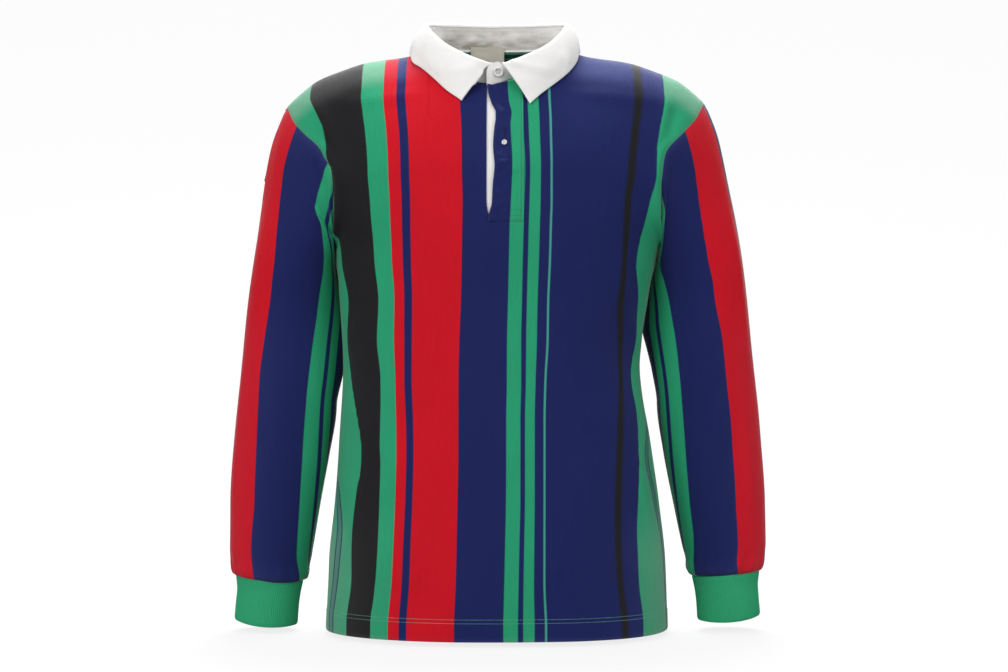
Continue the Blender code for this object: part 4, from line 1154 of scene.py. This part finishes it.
def makeLeaf():
    size, roll = collarSizes, len(collarSizes["roll"])
    theta = np.linspace(size["start"], 360 - size["start"], size["columns"])
    top, out, up, _ = standTop(theta)
    full = plump(theta)[:, None]
    rows = [top - out * 0.9 + out * away * full + up * rise * full for away, rise in size["roll"]]
    begin, end = rows[-1], leafEdge(theta)
    side = unit(np.cross(np.gradient(begin, axis=0), end - begin))
    for step in np.linspace(0, 1, size["rows"] + 1)[1:]:
        bulge = side * size["bulge"] * math.sin(math.pi * step)
        bow = size["bow"] * (hump(step - 0.15, 0.12) - 0.21 * hump(step, 0.05))
        bowed = (bow * hump(theta - theta[0], 9))[:, None] * (1, 0, 0)  # the wearer's right end curves in
        rows.append(begin + (end - begin) * step + bulge - bowed)
    grid = np.array(rows)
    facing, ends, foot = normalsOf(grid), fromEdges(grid)[0], paced(grid)
    left, x, z = foot[-1:] - foot, grid[..., 0], grid[..., 2]
    lift = creased(x, z, leafCreases) + 0.5 * waves(x, z, 60, 81)
    lift *= smoothStep(foot / 14) * smoothStep(left / 10)
    lift += size["cloth"] / 2 - 0.5 * hump(left, 0.9) - 0.5 * hump(ends, 0.9)
    uv = np.stack([np.broadcast_to(paced(grid[roll]), foot.shape), foot], axis=-1)
    wornAndPaintedLight = np.zeros(foot.shape)
    # painted shade: the collar's roll greyed, most near the stand's top
    wornAndPaintedLight[:roll] = 0.30 * (1 - np.linspace(0, 1, roll) ** 3)[:, None]
    outer = grid + facing * lift[..., None]
    return clothWall("collar_fall", finishes["collar"], outer, facing, size["cloth"], uv, wornAndPaintedLight)


standPiece, standOuter, standFacing, standTheta = makeStand()
leafPiece = makeLeaf()
print("collar made")

# neck trim
tapeSizes = {"wide": 13.0, "above": -1.4, "thick": 0.8, "gap": 0.3, "inset": 0.3, "rows": 10, "columns": 160}
labelSizes = {"right": -34.5, "left": 8.5, "top": 4.8, "drop": 33.0, "away": 3.6, "lean": 0.02, "thick": 0.6,
              "columns": 36, "rows": 40}


def belowNeck(columns, drops):  # points at set drops below the back's neck seam, in each of some columns
    part, spots = panels["back"], []
    for c in columns:
        low = min(int(c), part["top"].shape[1] - 2)
        line = part["top"][:, low] * (low + 1 - c) + part["top"][:, low + 1] * (c - low)
        spots.append(np.interp(drops, line[::-1], np.arange(len(line))[::-1]))
    rows = np.array(spots).T
    columns = np.broadcast_to(columns, rows.shape)
    points, facing = onGrid(part["outer"], rows, columns), unit(onGrid(part["facing"], rows, columns))
    edge, inner = (onGrid(part["outer"], np.full(rows.shape, len(part["outer"]) - k), columns)
                   for k in (1.0, 4.0))
    return points + unit(edge - inner) * np.maximum(-drops, 0)[:, None, None], facing


def makeTape():
    size = tapeSizes
    drops = np.linspace(size["wide"], -size["above"], size["rows"])
    columns = np.linspace(backColumns[0] + size["inset"], backColumns[1] - size["inset"], size["columns"])
    points, facing = belowNeck(columns, drops)
    edge = np.minimum(drops[0] - drops, drops - drops[-1])[:, None]
    ripple = 0.25 * waves(points[..., 0], points[..., 2], 14, 91) - 0.3 * hump(edge, 1.0)
    outer = points + facing * (ripple - bodySizes["cloth"] - size["gap"])[..., None]
    uv = np.stack(np.broadcast_arrays(paced(points[4])[None, :], drops[:, None]), axis=-1)
    wearAndPaintedLight = np.broadcast_to(0.4 * np.exp(-edge / 1.5), points.shape[:2])
    piece = clothWall("back_neck_tape", finishes["tape"], outer, facing, size["thick"], uv, wearAndPaintedLight)
    inner = outer - facing * (size["thick"] + 0.2)
    return piece, [inner[-2], inner[1]]


def makeLabel():  # a blank woven label, hung from the seam over the tape
    size, numbers = labelSizes, np.arange(backColumns[0], backColumns[1] + 1)
    neck = panels["back"]["outer"][-1, numbers, 0]
    order = np.argsort(neck)
    wide = np.linspace(size["right"], size["left"], size["columns"])[None, :]
    seam = belowNeck(np.interp(wide[0], neck[order], numbers[order]), np.zeros(1))[0][0]
    tall = np.linspace(-size["top"], size["drop"], size["rows"])[:, None]
    beside, along = (np.minimum(line - line.min(), line.max() - line) for line in (wide, tall))
    edge = np.minimum(beside, along)
    curl = 0.9 * waves(wide, tall, 30, 95) * smoothStep(edge / 8) * smoothStep(tall / 12)
    curl -= 0.4 * hump(edge, 1.2)
    away = size["away"] + size["lean"] * np.maximum(tall, 0) + curl
    outer = seam[None] - np.stack([0 * away, away, tall + 0 * away], axis=-1)
    facing = -normalsOf(outer[::-1])[::-1]
    facing *= np.sign(facing[..., 1:2])
    uv = np.stack(np.broadcast_arrays(wide, -tall), axis=-1)
    piece = clothWall("blank_label", finishes["label"], outer[::-1], facing[::-1], size["thick"], uv[::-1],
                      0.5 * np.exp(-edge / 2)[::-1])
    inner = outer - facing * (size["thick"] + 0.15)
    return piece, [inner[:, 1], inner[1, :], inner[:, -2], inner[-2, :]]


tape, tapeLines = makeTape()
label, labelLines = makeLabel()
tapeStitches = stitched("back_neck_tape_stitches", tapeLines, "tealThread", 2.4, 2.3, 0.9)
labelStitches = stitched("blank_label_stitches", labelLines, "whiteThread", 1.8, 1.3, 0.35)
print("tape and label made")

# buttons: x, z, radius, thickness, each hole's radius, how far out the holes lie, sides
buttonSizes = {
    "neck": (1.3, -21.4, 6.3, 2.6, 0.95, 1.5, 96),
    "placket": (8.8, -113.0, 3.3, 1.6, 0.6, 0.95, 72),
}
buttonProfile = {  # share of the radius, share of the thickness, from the middle out and round to the back
    "face": ((0.0, 0.50), (0.45, 0.52), (0.58, 0.60), (0.66, 0.92), (0.74, 1.0), (0.86, 1.0), (0.95, 0.86),
             (1.0, 0.62)),
    "edge": ((1.0, 0.36), (0.93, 0.06), (0.86, 0.0)),
    "well": 0.62, "holeDeep": 0.55, "proud": 0.7,
}


def tubes(name, lines, radius, stuff, sides=8):  # round threads along lines of points
    points, faces, pairs = [], [], [(s, (s + 1) % sides) for s in range(sides)]
    for line in map(np.asarray, lines):
        along = unit(np.gradient(line, axis=0))
        one = unit(np.cross(along, (0.31, 0.12, 0.94)))
        two = np.cross(along, one)
        start, count = len(points), len(line)
        for k in range(count):
            for turn in np.arange(sides) / sides * 2 * math.pi:
                points.append(line[k] + radius * (math.cos(turn) * one[k] + math.sin(turn) * two[k]))
        for a in range(start, start + (count - 1) * sides, sides):
            faces += [(a + s, a + after, a + sides + after, a + sides + s) for s, after in pairs]
        faces.append(tuple(range(start, start + sides))[::-1])
        faces.append(tuple(range(start + (count - 1) * sides, start + count * sides)))
    return solid(name, points, faces, stuff)


def makeButton(name, size, grid):  # a turned disc with a raised rim and four sewn holes, flat on the cloth
    x, z, radius, thick, hole, spread, sides = size
    centre, facing = spotOn(grid, x, z)
    right = unit(np.array([-facing[1], facing[0], 0]))
    axes = np.array([right, np.cross(facing, right), facing])
    turn, well = np.arange(sides) / sides * 2 * math.pi, buttonProfile["well"]

    def placed(spots):
        return centre + facing * buttonProfile["proud"] + spots @ axes

    face = np.array(buttonProfile["face"])
    out = np.unique(np.concatenate([np.linspace(0.03, well, 26), face[2:, 0], np.linspace(well, 0.99, 14)]))
    rings = []
    for share, rise in [*zip(out, through(face[:, 0], face[:, 1], out)), *buttonProfile["edge"]]:
        aside, up = share * radius * np.cos(turn), share * radius * np.sin(turn)
        height = np.full(sides, rise * thick)
        for a, b in ((a, b) for a in (-spread, spread) for b in (-spread, spread) if share < well):
            inside = (hole - np.hypot(aside - a, up - b)) / (0.35 * hole) + 0.5
            height -= buttonProfile["holeDeep"] * thick * smoothStep(inside)
        rings.append(np.stack([aside, up, height], axis=1))
    points = np.concatenate([[[0, 0, face[0, 1] * thick]], *rings, [[0, 0, 0]]])
    pairs = [(k, (k + 1) % sides) for k in range(sides)]
    faces = [(0, 1 + k, 1 + after) for k, after in pairs]
    last = 1 + (len(rings) - 1) * sides
    for a in range(1, last, sides):
        faces += [(a + k, a + sides + k, a + sides + after, a + after) for k, after in pairs]
    faces += [(last + k, len(points) - 1, last + after) for k, after in pairs]
    piece = solid(name, placed(points), faces, finishes["button"])
    t = np.linspace(-1, 1, 9)
    arch = (0.62 + 0.20 * (1 - t**2) - 0.3 * np.abs(t) ** 6) * thick
    ties = [placed(np.stack([t * spread * 1.05, np.full(9, a + aside), arch], axis=1))
            for a in (-spread, spread) for aside in (-0.33 * hole, 0.33 * hole)]
    return piece, tubes(name + "_thread", ties, 0.26 * hole, finishes["whiteThread"])


neckButton, neckThread = makeButton("neck_button_pearl", buttonSizes["neck"], standOuter[:, -60:])
placketButton, placketThread = makeButton("placket_button_pearl", buttonSizes["placket"], bandOuter)
print("buttons made")

# stitching
holeSizes = {"x": 9.8, "low": -106.5, "high": -92.0, "slit": 0.25, "middle": 0.9, "wide": 1.5, "pitch": 0.75,
             "thread": 0.3}


def buttonhole():  # close stitches round a slit, on the band above its button
    size, threads = holeSizes, []
    heights = np.arange(size["low"], size["high"], size["pitch"])
    for z in heights:
        for sign in (-1, 1):
            places = [size["x"] + sign * away for away in (size["slit"], size["middle"], size["wide"])]
            spots = [spotOn(bandOuter, x, z) for x in places]
            threads.append([point + facing * lift for (point, facing), lift in zip(spots, (0.1, 0.4, 0.1))])
    for z in (heights[0] - 0.6, heights[-1] + 0.6):
        spots = [spotOn(bandOuter, size["x"] + aside, z) for aside in (-1.6, -0.8, 0, 0.8, 1.6)]
        threads.append([point + facing * 0.35 for point, facing in spots])
    return tubes("placket_buttonhole", threads, size["thread"], finishes["navyThread"], 6)


def hemLine(part, height, rise=0.15):  # a line across one panel at a set height above its hem
    heights = part["height"]
    rows = np.array([np.interp(height, line, np.arange(len(line))) for line in heights.T])
    at = np.arange(heights.shape[1], dtype=float)
    return onGrid(part["outer"], rows, at) + unit(onGrid(part["facing"], rows, at)) * rise


bandLines = bandOuter + bandFacing * 0.2


def bandRow(z, low, high):  # across the foot of the placket band, between two places
    line = bandLines[int(np.argmin(np.abs(bandOuter[:, -1, 2] - z)))]
    return line[(line[:, 0] > low) & (line[:, 0] < high)]


def standLine(share, rise):  # along the stand, at a share of its height
    columns = np.array([c for c in range(2, len(standTheta) - 2) if standTheta[c] > 0], float)
    rows = np.full(len(columns), share * (len(standOuter) - 1))
    return onGrid(standOuter, rows, columns) + unit(onGrid(standFacing, rows, columns)) * rise


hole = buttonhole()
hemLines = [hemLine(part, hemSizes[key]) for part in panels.values() for key in ("stitched", "lowerStitches")]
hemStitches = stitched("hem_stitches", hemLines, "tealThread", 3.0, 2.6, 0.55)
greenLines = [bandLines[:, -3], bandRow(-202.4, 16, 30), bandRow(-195.1, 16, 30)]
navyLines = [bandLines[:, 2], bandRow(-202.4, -11, 16), bandRow(-195.1, -10, 16)]
bandStitches = stitched("placket_edge_stitches", greenLines, "greenThread", 2.6, 2.1, 0.5)
foldStitches = stitched("placket_fold_stitches", navyLines, "navyThread", 2.6, 2.1, 0.45)
seamPoints, seamFacing = belowNeck(np.linspace(backColumns[0] + 1, backColumns[1] - 1, 160), np.array([0.7]))
seamLine = (seamPoints - seamFacing * (bodySizes["cloth"] + 0.5))[0]
seamStitches = stitched("back_neck_seam_stitches", [seamLine], "tealThread", 2.4, 2.5, 1.7)
standLines = [standLine(0.08, 0.1), standLine(0.9, -standSizes["cloth"] - 0.1)]
standStitches = stitched("collar_band_stitches", standLines, "whiteThread", 2.4, 1.9, 0.45)
print("stitching made")

# stage, camera and lights
viewer = {"x": 8.3, "y": -2500, "z": -348, "lens": 70.3}
studio = {"floor": -723.5, "near": -9000, "wall": 3600, "turn": 1500, "half": 14000, "tall": 9000,
          "albedo": 0.15, "glow": 0.875, "paintedShadow": 0.06, "lit": 1300, "sky": 0.80}
lamps = {  # x, y, z, watts, size
    "keyLamp": (-1800, -2500, 700, 40, 1.6),
    "fillLamp": (1900, -2300, 500, 19, 1.6),
    "topLamp": (60, 900, 1500, 62, 1.2),
}


def makeSweep():  # seamless paper: a floor that turns up into a wall behind
    size, line = studio, [(studio["near"], studio["floor"])]
    for turn in np.linspace(0, math.pi / 2, 17):
        line.append((size["wall"] - size["turn"] * (1 - math.sin(turn)),
                     size["floor"] + size["turn"] * (1 - math.cos(turn))))
    line.append((size["wall"], size["tall"]))
    points = [(x, y, z) for y, z in line for x in (-size["half"], size["half"])]
    faces = [(k, k + 1, k + 3, k + 2) for k in range(0, len(points) - 2, 2)]
    paper, shader, start = finish("studioPaper", 0.9, 0.0)
    shader.inputs["Base Color"].default_value = (size["albedo"], size["albedo"], size["albedo"], 1)
    # the lens sees the paper evenly lit but for a painted shadow, a slight dimming round the shirt; it lights
    # the cloth as plain paper would
    seen, place = start.node("ShaderNodeLightPath"), start.node("ShaderNodeTexCoord", {}, {}, 3)
    flat = place * (1000 / size["lit"], 1000 / size["lit"], 0)
    near = place.node("ShaderNodeVectorMath", {"operation": "DOT_PRODUCT"}, {0: flat, 1: flat}, 1)
    glow = seen * (size["glow"] - size["paintedShadow"] * near.maths("POWER", math.e, 0 - near))
    glow.tripled().feeds(shader, "Emission Color")
    shader.inputs["Emission Strength"].default_value = 1.0
    solid("studioSweep", points, faces, paper)


def makeStudio():
    world = bpy.data.worlds.new("studio")
    world.use_nodes = True
    sky = Wire(world.node_tree)
    background = world.node_tree.nodes["Background"]
    background.inputs["Color"].default_value = (1, 1, 1, 1)
    seen = sky.node("ShaderNodeLightPath") * (1 - studio["sky"]) + studio["sky"]
    seen.feeds(background, "Strength")  # white behind the shirt from any side
    scene = bpy.context.scene
    scene.world = world
    scene.camera = camera = added("viewer", bpy.data.cameras.new("viewer"))
    camera.data.lens, camera.data.sensor_width = viewer["lens"], 36
    camera.data.clip_start, camera.data.clip_end = 0.1, 60
    camera.location = (viewer["x"] * mm, viewer["y"] * mm, viewer["z"] * mm)
    camera.rotation_euler = (math.pi / 2, 0, 0)
    scene.view_settings.view_transform, scene.view_settings.look = "Standard", "None"
    for name, (x, y, z, watts, size) in lamps.items():
        lamp = added(name, bpy.data.lights.new(name, "AREA"))
        lamp.data.energy, lamp.data.size = watts, size
        lamp.location = (x * mm, y * mm, z * mm)
        aim = Vector((0, 0, viewer["z"] * mm)) - lamp.location
        lamp.rotation_euler = aim.to_track_quat("-Z", "Y").to_euler()


makeSweep()
makeStudio()
replaced = {
    front: "front", back: "back", sleeves[-1]: "sleeve_right", sleeves[1]: "sleeve_left",
    cuffs[-1]: "cuff_right", cuffs[1]: "cuff_left", standPiece: "collar_stand", leafPiece: "collar_leaf",
    band: "placket_over", under: "placket_under", tape: "neck_tape", label: "neck_label",
    neckButton: "neck_button", placketButton: "placket_button",
}
slots = {
    "jersey": (front, back, *sleeves.values(), band, hole, hemStitches, bandStitches, foldStitches),
    "rib": tuple(cuffs.values()),
    "woven_white": (standPiece, leafPiece, under, standStitches, neckThread, placketThread),
    "tape_green": (tape, tapeStitches, seamStitches),
    "label_white": (label, labelStitches),
    "button": (neckButton, placketButton),
}
for slot, pieces in slots.items():
    for piece in pieces:
        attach(piece, body)
for piece, node in replaced.items():
    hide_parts(node)
